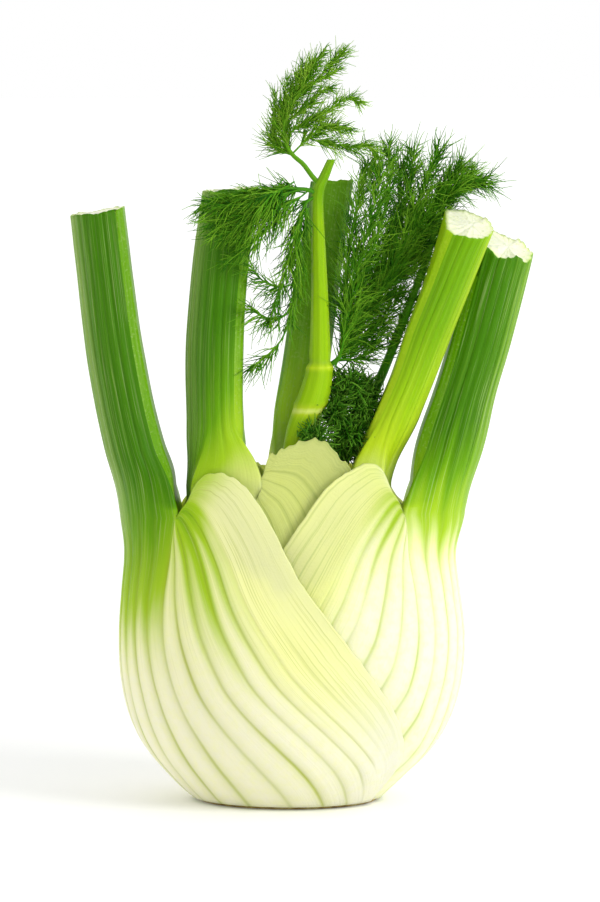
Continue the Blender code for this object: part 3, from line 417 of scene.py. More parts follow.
def ribbed_share(relief, across, step):
    """1 where a leaf base is ribbed and 0 along its smooth margin, which widens towards the ear."""
    smooth_from = relief.smooth_from - 0.15 * ramp(step, 0.35, 0.75) - 0.2 * ramp(step, 0.25, 0.02)
    return 1 - ramp(np.abs(across), smooth_from - 0.06, smooth_from + 0.03)


def neck_share(across):
    """1 on the part of a leaf base that its stalk goes on from, 0 beside it."""
    return ramp(np.abs(across), EDGE_SHARE + 0.02, EDGE_SHARE - 0.04)


def groove_at(phase, width):
    """1 in the middle of a groove, falling to 0 within a width given as a share of a rib."""
    return hump(phase, np.round(phase), width)


def crown_at(phase):
    return 0.5 - 0.5 * np.cos(2 * math.pi * phase)


def slow_noise(values, seed, octaves=3):
    """A smooth, repeatable wave between -1 and 1 along one coordinate."""
    draw = random.Random(seed)
    total = 0
    for octave in range(octaves):
        wave = np.sin(values * 1.7**octave * draw.uniform(0.8, 1.2) + draw.uniform(0, 6.28))
        total = total + wave / (octave + 1)
    return total / sum(1 / (octave + 1) for octave in range(octaves))


def fine_base(leaf, columns, steps, inner):
    """Points of a leaf base, with what its material needs at each one."""
    across, step = np.meshgrid(columns, steps)
    relief = RELIEFS[leaf.name]
    turned, height = base_place(leaf, across, step)
    near_margin = ramp(np.abs(across), 0.9, 1.0)
    notches = 0.8 - 1.8 * np.abs(slow_noise(step * 61, relief.seed + 41, 3))
    torn = 0.9 * slow_noise(step * 27, relief.seed + 40, 4) + notches
    height = height + relief.torn_margin * near_margin * torn * ramp(step, 1.0, 0.93) * ramp(step, 0.0, 0.2)
    height = np.maximum(height, LEAF_START)
    height = height - FOOT_DROP * np.exp(-(height - LEAF_START) / 3)
    angle = leaf.facing + leaf.turn * turned
    bend = ramp(np.abs(across), 0.8, 1.0) * slant(angle, height)
    depth = depth_below(leaf, angle, height, False) + MARGIN_SINK * bend
    phase = rib_phase(across)
    ribbed = ribbed_share(relief, across, step)
    if inner:
        depth = depth + wall_thickness(leaf, angle, height) - (MARGIN_THICKNESS - FINE_MARGIN) * bend
    else:
        fade = np.maximum(ramp(step, 0.98, 0.84), neck_share(across) * ramp(step, 1.0, 0.9))
        fade = fade * ribbed * relief.groove * ramp(step, 0.0, 0.05)
        fine = 0.03 * (1 - ribbed) * slow_noise(across * 150, relief.seed + 60, 4) * ramp(step, 1.0, 0.8)
        ribs = GROOVE_DEPTH * groove_at(phase, 0.1) + RIB_CROWN * (1 - crown_at(phase))
        depth = depth + fade * ribs + fine
        depth = depth + SWELL * (1 + slow_noise(across * 9 + step * 2.5, relief.seed)) * ramp(step, 1.0, 0.9)
    x, y = bulb_point(angle, height)
    share = 1 - depth / np.hypot(x, y)
    points = np.stack([x * share, y * share, height], axis=-1)
    return points, across, step


def fine_stalk(leaf, columns, shares, inner, corner_row):
    """Points of a stalk from its corner to its cut."""
    across, share = np.meshgrid(columns, shares)
    relief = RELIEFS[leaf.name]
    top = leaf.stalk[-1][0]
    height = leaf.corner + (top - leaf.corner) * share
    x, y, half_width, half_depth = read_table(leaf.stalk, height)
    turn = across / EDGE_SHARE
    angle = np.radians(180 - (180 - STALK_SWEEP) * turn if inner else STALK_SWEEP * turn)
    away, sideways = np.cos(angle), np.sin(angle)
    away = 2 * (np.maximum(away, -INNER_FLATNESS) + INNER_FLATNESS) / (1 + INNER_FLATNESS) - 1
    phase = rib_phase(across) * STALK_RIB_RATIO
    if inner:
        relief_share = 1 - 0.012 * (1 - np.cos(8 * math.pi * turn))
    else:
        crowns = STALK_CROWN * (1 - crown_at(phase)) * (0.6 + 0.4 * np.cos(7 * across))
        relief_share = 1 - STALK_GROOVE * groove_at(phase, 0.14) - crowns
    waviness = 1 + 0.012 * slow_noise(height * 0.11 + leaf.facing, relief.seed + 9)
    away, sideways = away * relief_share * waviness, sideways * relief_share * waviness
    faces = math.radians(leaf.facing)
    side = faces + leaf.turn * math.pi / 2
    section = np.stack([x + math.cos(faces) * half_width * away + math.cos(side) * half_width * sideways,
                        y + math.sin(faces) * half_depth * away + math.sin(side) * half_depth * sideways,
                        height], axis=-1)
    foot = np.array([*read_table(leaf.stalk, np.array(leaf.corner))[:2], leaf.corner])
    middle = np.stack([x, y, height], axis=-1)
    carried = corner_row[None, :, :] - foot + middle
    blend = smooth_step((height - leaf.corner) / STALK_BLEND)[..., None]
    points = carried * (1 - blend) + section * blend
    edge = slow_noise(across * 26 + (40 if inner else 0), relief.seed + 20, 5)
    ragged = relief.torn_cut * edge * np.exp(-((1 - share) * 60))
    rise = leaf.cut[0] * (points[..., 0] - x) + leaf.cut[1] * (points[..., 1] - y)
    points[..., 2] += share**6 * rise + ragged
    return points, across, share


# Meshes.

def grid_faces(index, closed=False):
    """Quads over grids of point numbers, which may close on themselves along their last axis."""
    if closed:
        index = np.concatenate([index, index[..., :1]], axis=-1)
    corners = [index[..., :-1, :-1], index[..., :-1, 1:], index[..., 1:, 1:], index[..., 1:, :-1]]
    return np.stack(corners, axis=-1).reshape(-1, 4).tolist()


def ringed_faces(rings, sides):
    """Quads between closed rings of points, with a lid on the first ring and on the last."""
    index = np.arange(rings * sides).reshape(rings, sides)
    return grid_faces(index, True) + [index[0, ::-1].tolist(), index[-1].tolist()]


def add_object(name, data):
    item = bpy.data.objects.new(name, data)
    bpy.context.scene.collection.objects.link(item)
    return item


def make_object(name, points, faces, attributes, materials, face_materials=None):
    """A mesh in metres from points in millimetres, with one value per point for each attribute."""
    data = bpy.data.meshes.new(name)
    data.from_pydata((np.asarray(points) * MM).tolist(), [], faces)
    for key, values in attributes.items():
        layer = data.attributes.new(key, "FLOAT", "POINT")
        layer.data.foreach_set("value", np.asarray(values, np.float32))
    for material in materials:
        data.materials.append(material)
    if face_materials is not None:
        data.polygons.foreach_set("material_index", np.asarray(face_materials, np.int32))
    mesh = bmesh.new()
    mesh.from_mesh(data)
    bmesh.ops.remove_doubles(mesh, verts=mesh.verts, dist=0.002 * MM)
    bmesh.ops.recalc_face_normals(mesh, faces=mesh.faces)
    if mesh.calc_volume(signed=True) < 0:
        bmesh.ops.reverse_faces(mesh, faces=mesh.faces)
    mesh.to_mesh(data)
    mesh.free()
    data.shade_smooth()
    return add_object(name, data)


def stand_for(item, node):
    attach(item, "root")
    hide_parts(node)


def leaf_columns():
    """Shares across a leaf base where its points lie, closer together in the grooves."""
    values = [rib + offset for rib in range(-RIBS_EACH_SIDE, RIBS_EACH_SIDE) for offset in RIB_SAMPLES]
    return np.array(values + [RIBS_EACH_SIDE]) / RIBS_EACH_SIDE


class LeafMesh:
    """Collects grids of points with the values that the materials need, and the faces between them."""

    def __init__(self):
        self.points, self.values, self.faces, self.kinds, self.count = [], [], [], [], 0

    def add_points(self, block, across, rise, inside):
        shape = block.shape[:2]
        self.points.append(block.reshape(-1, 3))
        values = (across, rise, float(inside))
        self.values.append([np.broadcast_to(value, shape).reshape(-1) for value in values])
        index = np.arange(self.count, self.count + shape[0] * shape[1]).reshape(shape)
        self.count += index.size
        return index

    def add_faces(self, faces, kind):
        self.faces.extend(faces)
        self.kinds.extend([kind] * len(faces))


def build_leaf(leaf, materials, masks, settings):
    """A leaf from its foot to its cut; materials are those of its skin, its inner side and its cut face."""
    mesh = LeafMesh()
    steps = np.linspace(0, 1, BASE_ROWS)
    shares = np.linspace(0, 1, STALK_ROWS + 1)[1:]
    spare = round((1 - EDGE_SHARE) * RIBS_EACH_SIDE) * len(RIB_SAMPLES)
    sheets = []
    for inner, every in ((False, 1), (True, INNER_EVERY)):
        columns = leaf_columns()[::every]
        on_stalk = slice(spare // every, len(columns) - spare // every)
        base, across, step = fine_base(leaf, columns, steps, inner)
        stalk, stalk_across, share = fine_stalk(leaf, columns[on_stalk], shares, inner, base[-1, on_stalk])
        base_index = mesh.add_points(base, across, step, inner)
        stalk_index = mesh.add_points(stalk, stalk_across, 1 + share, inner)
        joined = np.vstack([base_index[-1:, on_stalk], stalk_index])
        mesh.add_faces(grid_faces(base_index), int(inner))
        mesh.add_faces(grid_faces(joined), int(inner))
        sheets.append((base_index, joined, stalk[-1]))
    (outer_base, outer_stalk, outer_cut), (inner_base, inner_stalk, inner_cut) = sheets

    # Margins, the stalk's edges and the foot close the leaf between its two sides.
    for outside, within in ((outer_base, inner_base), (outer_stalk, inner_stalk)):
        for side in (0, -1):
            mesh.add_faces(grid_faces(np.stack([outside[:, side], within[:, side]], axis=1)), 0)
    for i in range(inner_base.shape[1] - 1):
        first = i * INNER_EVERY
        mesh.add_faces([[*outer_base[0, first:first + INNER_EVERY + 1].tolist(),
                         int(inner_base[0, i + 1]), int(inner_base[0, i])]], 1)

    # The cut face: rings from the stalk's outline to its middle, a little hollow, with soft fibres.
    outline = np.vstack([outer_cut, inner_cut[::-1][1:-1]])
    ring_index = np.concatenate([outer_stalk[-1], inner_stalk[-1, ::-1][1:-1]])
    middle = outline.mean(axis=0)
    turn = np.arange(len(outline)) * 2 * math.pi / len(outline)
    for ring in range(1, CUT_RINGS):
        inward = (ring / CUT_RINGS) ** 0.8
        block = outline + (middle - outline) * inward
        sink = 0.25 * math.sin(math.pi * min(inward * 1.4, 1)) + 0.1
        fibres = 0.12 * slow_noise(turn * 7 + ring * 2.1, 70 + ring, 4) * math.sin(math.pi * inward)
        block[:, 2] += fibres - sink
        next_index = mesh.add_points(block[None], 0.0, 2.0 + inward, False)[0]
        mesh.add_faces(grid_faces(np.stack([ring_index, next_index]), True), 2)
        ring_index = next_index
    tip = mesh.add_points(middle[None, None] - np.array([0, 0, 0.15]), 0.0, 3.0, False)[0, 0]
    mesh.add_faces([[int(first), int(second), int(tip)]
                    for first, second in zip(ring_index, np.roll(ring_index, -1))], 2)

    points = np.vstack(mesh.points)
    across, rise, inside = (np.concatenate(parts) for parts in zip(*mesh.values))
    # The sheen mask lies on the outermost ribs of a stalk: they are paler than the rest, and the paler colour
    # there is also a painted sheen.
    sheen = ramp(np.abs(across), 0.24, 0.04) * ramp(rise, 0.75, 1.0) * (1 - inside)
    values = {"across": across, "rise": rise, "sheen": sheen,
              **masks(RELIEFS[leaf.name], points[:, 2], across, rise, inside, *settings)}
    name = leaf.name.replace("_leaf", "_fine_leaf")
    stand_for(make_object(name, points, mesh.faces, values, materials, mesh.kinds), leaf.name)


# Threads of the fronds: many thin tubes at once.

def tubes(paths, start_radii, end_radii, sides):
    """Points and faces of closed tubes along paths (tubes, rings, 3), each point's share of the length."""
    paths = np.asarray(paths, float)
    number, rings, _ = paths.shape
    heading = np.gradient(paths, axis=1)
    heading /= np.linalg.norm(heading, axis=2, keepdims=True)
    across = np.cross(heading, np.array([0.13, 1.0, 0.07]))
    across /= np.linalg.norm(across, axis=2, keepdims=True)
    up = np.cross(across, heading)
    share = np.linspace(0, 1, rings)[None, :]
    radius = np.asarray(start_radii)[:, None] * (1 - share) + np.asarray(end_radii)[:, None] * share
    corners = []
    for corner in range(sides):
        turn = 2 * math.pi * corner / sides
        corners.append(paths + (across * math.cos(turn) + up * math.sin(turn)) * radius[..., None])
    points = np.stack(corners, axis=2)
    index = np.arange(number * rings * sides).reshape(number, rings, sides)
    caps = np.concatenate([index[:, 0, ::-1], index[:, -1, :]])
    reach = np.broadcast_to(share[..., None], (number, rings, sides)).reshape(-1)
    return points.reshape(-1, 3), grid_faces(index, True) + caps.tolist(), reach, rings * sides


class Threads:
    """Collects tubes of several thicknesses into one mesh."""

    def __init__(self):
        self.points, self.faces, self.reach, self.tone, self.count = [], [], [], [], 0

    def add(self, paths, start_radii, end_radii, tones, sides):
        points, faces, reach, each = tubes(paths, start_radii, end_radii, sides)
        self.points.append(points)
        self.faces.extend([[corner + self.count for corner in face] for face in faces])
        self.reach.append(reach)
        self.tone.append(np.repeat(np.asarray(tones, float), each))
        self.count += len(points)

    def build(self, name, material):
        values = {"reach": np.concatenate(self.reach), "tone": np.concatenate(self.tone)}
        return make_object(name, np.vstack(self.points), self.faces, values, [material])


def unit(vector):
    return vector / np.linalg.norm(vector)


def bent_path(root, away, bend, rings):
    t = np.linspace(0, 1, rings)[:, None]
    return root + away * t + bend * t * t


def beside(draw, heading, reference, index):
    """A direction across a heading, on alternate sides and turned a little out of their plane."""
    side = unit(np.cross(heading, reference)) * (1 if index % 2 else -1)
    return unit(side + np.array([0, draw.uniform(-0.9, 0.9), 0]))


def grow_frond(sprays, growth):
    """Sprays with branchlets on alternate sides, each a brush of long fine threads sweeping forward."""
    draw = random.Random(FROND_SEED)
    threads = Threads()
    branches, branch_tones, fine, fine_tones = [], [], [], []
    down = np.array([0, 0, growth.droop])
    for spray in sprays:
        length = sum(math.dist(a, b) for a, b in zip(spray.points, spray.points[1:]))
        path = along(spray.points, np.linspace(0, 1, 26)).T
        slimmer = 0.8 if spray.start_radius > 0.55 else 0.55
        threads.add([path], [spray.start_radius * slimmer], [spray.end_radius * 0.5], [0.45], 6)
        count = max(int(length * (1 - spray.first) / growth.branch_step), 2)
        for index in range(count):
            share = spray.first + (1 - spray.first) * (index + draw.uniform(0.1, 0.9)) / count
            root = along(spray.points, min(share, 0.99))
            heading = unit(along(spray.points, min(share + 0.02, 1))
                           - along(spray.points, max(share - 0.02, 0)))
            side = beside(draw, heading, [0, 1, 0], index)
            spread = math.radians(draw.uniform(*BRANCH_ANGLES))
            shorter = 1 - (1 - growth.tip_share) * share**2
            reach = spray.length * growth.branch_share * draw.uniform(*BRANCH_SIZES) * shorter
            away = (heading * math.cos(spread) + side * math.sin(spread) - down) * reach
            bend = (heading * draw.uniform(0.1, 0.6) + np.array([0, 0, draw.uniform(-0.3, 0.15)])) * reach * 0.7
            tone = draw.random()
            branches.append(bent_path(root, away, bend, 5))
            branch_tones.append(tone)
            number = max(int(reach / growth.thread_step), 3)
            for twig in range(number):
                t = 0.05 + 0.93 * (twig + draw.uniform(0.1, 0.9)) / number
                start = root + away * t + bend * t * t
                ahead = unit(away + 2 * bend * t)
                out = beside(draw, ahead, [0.1, 1, 0.1], twig)
                angle = math.radians(draw.uniform(*THREAD_ANGLES))
                size = growth.thread_length * draw.uniform(*THREAD_SIZES) * (1 - 0.2 * t) * shorter**0.6
                way = (ahead * math.cos(angle) + out * math.sin(angle) - 0.6 * down) * size
                sweep = (heading * draw.uniform(-0.2, 0.6) + np.array([0, 0, draw.uniform(-0.5, 0.3)])
                         - out * draw.uniform(-0.4, 0.7)) * size * 0.9
                fine.append(bent_path(start, way, sweep, 4))
                fine_tones.append(min(max(tone + draw.uniform(-0.3, 0.3), 0), 1))
    thick = growth.thread_radius
    threads.add(branches, [thick * 1.3] * len(branches), [thick * 0.8] * len(branches), branch_tones, 4)
    threads.add(fine, [thick] * len(fine), [thick * 0.35] * len(fine), fine_tones, 3)
    return threads


def between(first, second, share, shift):
    """A spray between two others, moved by a shift."""
    shares = np.linspace(0, 1, max(len(first.points), len(second.points)))
    points = (along(first.points, shares).T * (1 - share) + along(second.points, shares).T * share
              + np.array(shift))
    return Spray([tuple(point) for point in points], 0.45, 0.3, (first.length + second.length) / 2, 0.2)


# Colours and materials.

def srgb(red, green, blue):
    """A colour given as it looks on a screen, 0 to 255, in the linear values that shaders use."""
    parts = [value / 255 for value in (red, green, blue)]
    return (*(part / 12.92 if part <= 0.04045 else ((part + 0.055) / 1.055) ** 2.4 for part in parts), 1.0)


def shades(*colors):
    return tuple(srgb(*color) for color in colors)


def plug(tree, value, socket):
    if hasattr(value, "is_output"):
        tree.links.new(value, socket)
    else:
        socket.default_value = value


def add_node(tree, kind, inputs, output=0, **settings):
    """One output of a new node whose inputs are values or outputs of other nodes."""
    node = tree.nodes.new("ShaderNode" + kind)
    for key, value in settings.items():
        setattr(node, key, value)
    for key, value in inputs.items():
        plug(tree, value, node.inputs[key])
    return node.outputs[output]


class Shader:
    """A material's node tree with short calls for the nodes used here."""

    def __init__(self, name, roughness, subsurface=0.0, radius=(1.0, 1.0, 0.4), scale=0.003, specular=0.2):
        self.material = bpy.data.materials.new(name)
        self.material.use_nodes = True
        self.tree = self.material.node_tree
        self.set_surface({"Roughness": roughness, "Subsurface Weight": subsurface, "Subsurface Radius": radius,
                          "Subsurface Scale": scale, "Specular IOR Level": specular})

    def set_surface(self, inputs):
        for key, value in inputs.items():
            plug(self.tree, value, self.tree.nodes["Principled BSDF"].inputs[key])

    def node(self, *arguments, **settings):
        return add_node(self.tree, *arguments, **settings)

    def attribute(self, name):
        return self.node("Attribute", {}, "Fac", attribute_name=name)

    def math(self, operation, first, second):
        return self.node("Math", {0: first, 1: second}, operation=operation)

    def times(self, first, second):
        return self.math("MULTIPLY", first, second)

    def place(self):
        return self.node("TexCoord", {}, "Object")

    def noise(self, vector, scale, detail):
        return self.node("TexNoise", {"Vector": vector, "Scale": scale, "Detail": detail, "Roughness": 0.55},
                         "Fac")

    def spots(self, scale, detail):
        """Noise in space, alike in all directions."""
        return self.noise(self.place(), scale, detail)

    def streaks(self, around, upwards, seed, detail):
        """Noise drawn out along a leaf, much finer around it than up it."""
        place = self.node("CombineXYZ", {0: self.times(self.attribute("across"), around),
                                         1: self.times(self.attribute("rise"), upwards), 2: seed})
        return self.noise(place, 1.0, detail)

    def window(self, value, low, high, to_low=0.0, to_high=1.0):
        """A value stretched from one range to another, smooth and held at the ends."""
        return self.node("MapRange", {"Value": value, "From Min": low, "From Max": high, "To Min": to_low,
                                      "To Max": to_high}, "Result", interpolation_type="SMOOTHSTEP")

    def mix(self, share, first, second):
        """Between two colours, whose inputs have the numbers 6 and 7 and whose output the number 2."""
        return self.node("Mix", {0: share, 6: first, 7: second}, 2, data_type="RGBA")

    def ramp(self, value, places, colors):
        node = self.tree.nodes.new("ShaderNodeValToRGB")
        plug(self.tree, value, node.inputs["Fac"])
        elements = node.color_ramp.elements
        while len(elements) < len(places):
            elements.new(0.5)
        for element, place, color in zip(elements, places, colors):
            element.position = place
            element.color = color
        return node.outputs["Color"]

    def bump(self, height, distance, strength, normal=None):
        inputs = {"Height": height, "Distance": distance, "Strength": strength}
        return self.node("Bump", inputs if normal is None else {**inputs, "Normal": normal})

    def finish(self, color, **others):
        """The material, with its colour and what else its surface takes, such as normal or emission_color."""
        named = {key.replace("_", " ").title(): value for key, value in others.items()}
        self.set_surface({"Base Color": color, **named})
        return self.material


def skin_material(name, colors, greens, seed):
    """Skin of a leaf base and its stalk. The attributes green, warm and line say where each colour goes."""
    pale, warm, line = colors
    shader = Shader(name, 0.4, subsurface=0.3, radius=(1.0, 0.9, 0.3), scale=0.004, specular=0.1)
    green, warmth, lines = shader.attribute("green"), shader.attribute("warm"), shader.attribute("line")
    fine = shader.streaks(60.0, 1.1, seed, 4.0)
    broad = shader.streaks(16.0, 0.7, seed + 7.0, 3.0)
    hair = shader.streaks(170.0, 2.5, seed + 3.0, 2.0)
    mottle = shader.spots(420.0, 3.0)
    base = shader.mix(warmth, pale, warm)
    base = shader.mix(shader.window(mottle, 0.4, 0.75, 0.0, 0.28), base, warm)
    shifted = shader.math("ADD", green, shader.times(shader.math("SUBTRACT", broad, 0.5), 0.2))
    stalk = shader.ramp(shifted, (0.0, 0.3, 0.62, 1.0), greens)
    color = shader.mix(shader.window(shifted, 0.02, 0.3), base, stalk)
    # Light and dark streaks, the paler outermost ribs with their painted sheen, and pale hairs.
    for streak, share, shade in (
            (shader.window(fine, 0.52, 0.72), shader.window(green, 0.2, 0.8, 0.02, 0.25), greens[4]),
            (shader.window(fine, 0.48, 0.3), shader.window(green, 0.2, 0.9, 0.0, 0.3), greens[3]),
            (shader.attribute("sheen"), shader.window(fine, 0.3, 0.6, 0.2, 0.65), greens[4]),
            (shader.window(hair, 0.55, 0.75), 0.16, pale)):
        color = shader.mix(shader.times(streak, share), color, shade)
    fine_lines = shader.times(shader.window(hair, 0.5, 0.66, 0.0, 0.42), warmth)
    color = shader.mix(shader.math("MAXIMUM", lines, fine_lines), color, line)
    height = shader.math("ADD", shader.times(fine, 0.6), shader.times(hair, 0.4))
    normal = shader.bump(shader.spots(1500.0, 2.0), 0.0002, 0.35, shader.bump(height, 0.0005, 0.55))
    return shader.finish(color, normal=normal, roughness=shader.window(mottle, 0.3, 0.7, 0.30, 0.44))


def inside_material(name, pale, greens, seed):
    """The smoother inner side of a leaf base and the flat side of its stalk, with tiny bright cells."""
    shader = Shader(name, 0.42, subsurface=0.25, radius=(1.0, 0.9, 0.35), scale=0.004, specular=0.14)
    green = shader.attribute("green")
    fine = shader.streaks(40.0, 3.0, seed, 4.0)
    cells = shader.spots(1100.0, 1.0)
    color = shader.mix(shader.window(green, 0.02, 0.4), pale, greens[1])
    color = shader.mix(shader.window(green, 0.3, 1.0), color, greens[2])
    color = shader.mix(shader.window(fine, 0.45, 0.7, 0.0, 0.22), color, greens[4])
    color = shader.mix(shader.window(cells, 0.56, 0.72, 0.0, 0.28), color, greens[4])
    return shader.finish(color, normal=shader.bump(cells, 0.0003, 0.6, shader.bump(fine, 0.0004, 0.4)))


def flesh_material():
    """A cut face: white pith with pale green fibres towards the rim."""
    shader = Shader("cut_flesh", 0.4, subsurface=0.35, radius=(1.0, 0.95, 0.6), scale=0.003, specular=0.3)
    inward = shader.math("SUBTRACT", shader.attribute("rise"), 2.0)
    fibres, patches = shader.spots(900.0, 2.0), shader.spots(260.0, 3.0)
    color = shader.ramp(inward, (0.0, 0.06, 0.16, 1.0),
                        shades((150, 186, 84), (206, 222, 150), (236, 240, 205), (238, 240, 216)))
    color = shader.mix(shader.window(fibres, 0.55, 0.72, 0.0, 0.55), color, srgb(205, 216, 150))
    color = shader.mix(shader.window(patches, 0.5, 0.75, 0.0, 0.4), color, srgb(246, 244, 232))
    return shader.finish(color, normal=shader.bump(fibres, 0.0006, 0.6))


def frond_material(name, *colors):
    """Threads from dark to light, each with its own tone and lighter towards its tip."""
    shader = Shader(name, 0.5, subsurface=0.1, radius=(0.6, 1.0, 0.2), scale=0.001, specular=0.12)
    tones = shades(*colors)
    patches = shader.times(shader.spots(120.0, 2.0), 0.35)
    value = shader.math("ADD", shader.times(shader.attribute("tone"), 0.75), patches)
    color = shader.ramp(value, (0.15, 0.55, 0.95), tones)
    color = shader.mix(shader.window(shader.attribute("reach"), 0.4, 1.0, 0.0, 0.3), color, tones[-1])
    return shader.finish(color, normal=shader.bump(shader.spots(2600.0, 1.0), 0.0001, 0.4))


def base_material():
    """The brown, patchy cut of the short stem."""
    shader = Shader("cut_base", 0.7, subsurface=0.1)
    color = shader.ramp(shader.spots(300.0, 4.0), (0.3, 0.5, 0.7),
                        shades((120, 96, 44), (168, 146, 84), (200, 188, 130)))
    return shader.finish(color, normal=shader.bump(shader.spots(1200.0, 2.0), 0.0004, 0.7))


# Where a leaf is green, warm and lined.

def outer_masks(relief, height, across, rise, inner, fade, fan_heights, fan_strength, ear_strength,
                line_strength):
    """Masks of an outer leaf: green stalk and neck, pale fan, warm margin and thin lines in the grooves."""
    side, phase = np.abs(across), rib_phase(across)
    neck = 1 - ramp(side, 0.3, 0.57)
    height_here = height + 3.5 * slow_noise(across * 40, relief.seed + 3) + 7 * (groove_at(phase, 0.3) - 0.4)
    green = np.clip((height_here - fade[0]) / (fade[1] - fade[0]), 0, 1) ** 1.45
    green = green * np.maximum(neck, ramp(rise, 1.0, 1.05))
    fan = ramp(height_here, *fan_heights) * (1 - neck) * fan_strength
    fan = fan * (0.72 + 0.45 * groove_at(phase, 0.28)) * ramp(side, 0.38, 0.66)
    ear = ear_strength * ramp(side, 0.5, 0.8) * ramp(rise, 0.7, 0.9)
    green = np.clip(green + fan * (1 - ramp(side, 0.64, 0.95)) + ear, 0, 1)
    warm = ramp(side, 0.6, 0.9) * ramp(rise, 1.0, 0.85) * ramp(rise, 0.1, 0.45)
    yellow = ramp(height, fan_heights[0], fan_heights[0] + 55) * (0.2 + 0.42 * ramp(rise, 1.06, 0.9))
    on_base = np.maximum(ramp(rise, 0.98, 0.86), neck_share(across) * ramp(rise, 1.04, 0.97))
    line = 0.66 * groove_at(phase, 0.06) + 0.36 * groove_at(phase, 0.24)
    line = line * ribbed_share(relief, across, np.minimum(rise, 1.0))
    line = line * (1 - 0.5 * ramp(side, 0.55, 0.92))
    line = line * (0.75 + 0.35 * slow_noise(across * 31 + rise * 7, relief.seed + 50))
    line = line * line_strength * on_base * (1 - inner) * (1 - green)
    return {"green": green, "warm": np.maximum(warm, yellow), "line": np.clip(line, 0, 1)}


def inner_masks(relief, height, across, rise, inner, fade, pale_side, line_strength):
    """Masks of an inner leaf: green stalk, yellow-green neck and a pale membrane with fan lines."""
    side, phase = np.abs(across), rib_phase(across)
    neck = 1 - ramp(side, EDGE_SHARE - 0.05, EDGE_SHARE + 0.3)
    paler = pale_side * ramp(across, 0.1, EDGE_SHARE)
    green = ramp(height - paler + 3 * slow_noise(across * 25, relief.seed + 5), *fade)
    green = green * np.maximum(neck, ramp(rise, 1.0, 1.04))
    line = (groove_at(phase, 0.05) + 0.6 * groove_at(phase * 3 + 0.4 * across, 0.1)) * ramp(rise, 1.02, 0.97)
    line = line * line_strength * (1 - inner)
    return {"green": green, "warm": 0.5 * ramp(side, 0.5, 0.9), "line": np.clip(line, 0, 1)}


# The smaller pieces.

def build_young_leaf(skin, flesh):
    """The slender young stalk with a ring where its sheath ends, and its cut stub."""
    sides, step = 48, 0.7
    first, last = YOUNG_LEAF[0][0], YOUNG_LEAF[-1][0]
    heights = np.arange(first, last + step, step)
    heights[-1] = last
    x, y, half_width, half_depth = read_table(YOUNG_LEAF, heights)
    turn = np.arange(sides) * 2 * math.pi / sides
    ridge = 1 - 0.03 * (1 - np.cos(8 * turn))[None, :] * ramp(heights, 95, 130)[:, None]
    # Two rings stand out, with a notch above the upper one, and both are paler than the stalk.
    ring = 0.35 * hump(heights, 126.6, 0.9) + 0.3 * hump(heights, 116.2, 1.1) - 0.3 * hump(heights, 128.6, 0.8)
    radius_x = (half_width + ring)[:, None] * ridge
    radius_y = (half_depth + ring)[:, None] * ridge
    points = np.stack([x[:, None] + radius_x * np.cos(turn), y[:, None] + radius_y * np.sin(turn),
                       np.broadcast_to(heights[:, None], radius_x.shape)], axis=-1)
    faces = ringed_faces(len(heights), sides)
    height = np.repeat(heights, sides)
    values = {
        "across": np.tile(turn / (2 * math.pi), len(heights)),
        "rise": height / 60,
        "green": (0.62 * ramp(height, 92, 112) + 0.1 * ramp(height, 132, 168) + 0.26 * ramp(height, 168, 178)
                  - 0.36 * hump(height, 126.8, 0.8) - 0.5 * hump(height, 114.2, 1.5)),
        "warm": 0.4 * ramp(height, 128, 118) * ramp(height, 108, 116),
        "line": 0.35 * hump(height, 128.4, 0.5),
        "sheen": np.zeros(len(height)),
    }
    kinds = [0] * (len(faces) - 1) + [1]
    item = make_object("young_fine_leaf", points.reshape(-1, 3), faces, values, [skin, flesh], kinds)
    stand_for(item, "young_leaf")


def build_tuft(material):
    """A young frond still curled up: needles of many directions packed round a core in the darkest tone; the
    core and the darker needles deep in each clump are painted shade.
    """
    draw = random.Random(TUFT_SEED)
    threads = Threads()
    threads.add([along(TUFT_STEM, np.linspace(0, 1, 24)).T], [1.5], [1.2], [0.2], 8)
    paths, tones = [], []
    for centre, radii, number in TUFT_CLUMPS:
        centre, radii = np.array(centre), np.array(radii)
        # The core of each clump, in the darkest tone, stands in for the shade deep inside it.
        core = np.array([0, 0, radii[2] * 1.1])
        threads.add([bent_path(centre - core / 2, core, np.zeros(3), 6)], [radii[1] * 0.5], [radii[1] * 0.4],
                    [0.0], 7)
        for _ in range(number):
            direction = unit(np.array([draw.gauss(0, 1), draw.gauss(0, 1), draw.gauss(0, 1)]))
            depth = draw.uniform(0.1, 0.95)
            root = centre + direction * radii * depth
            turned = np.array([draw.gauss(0, 0.8), draw.gauss(0, 0.5), draw.gauss(0, 0.8)])
            away = unit(direction * 0.8 + turned)
            length = draw.uniform(*NEEDLE_LENGTHS)
            curl = unit(np.array([draw.gauss(0, 1), draw.gauss(0, 0.6), draw.gauss(0, 1)])) * length * 1.1
            paths.append(np.clip(bent_path(root, away * length, curl, 6), TUFT_LOW, TUFT_HIGH))
            # Needles rooted nearer the middle of a clump get darker tones: painted shade inside the tuft.
            tones.append(draw.uniform(0.0, 0.9) * depth)
    threads.add(paths, *([radius] * len(paths) for radius in NEEDLE_RADII), tones, 3)
    stand_for(threads.build("heart_fine_tuft", material), "heart_tuft")


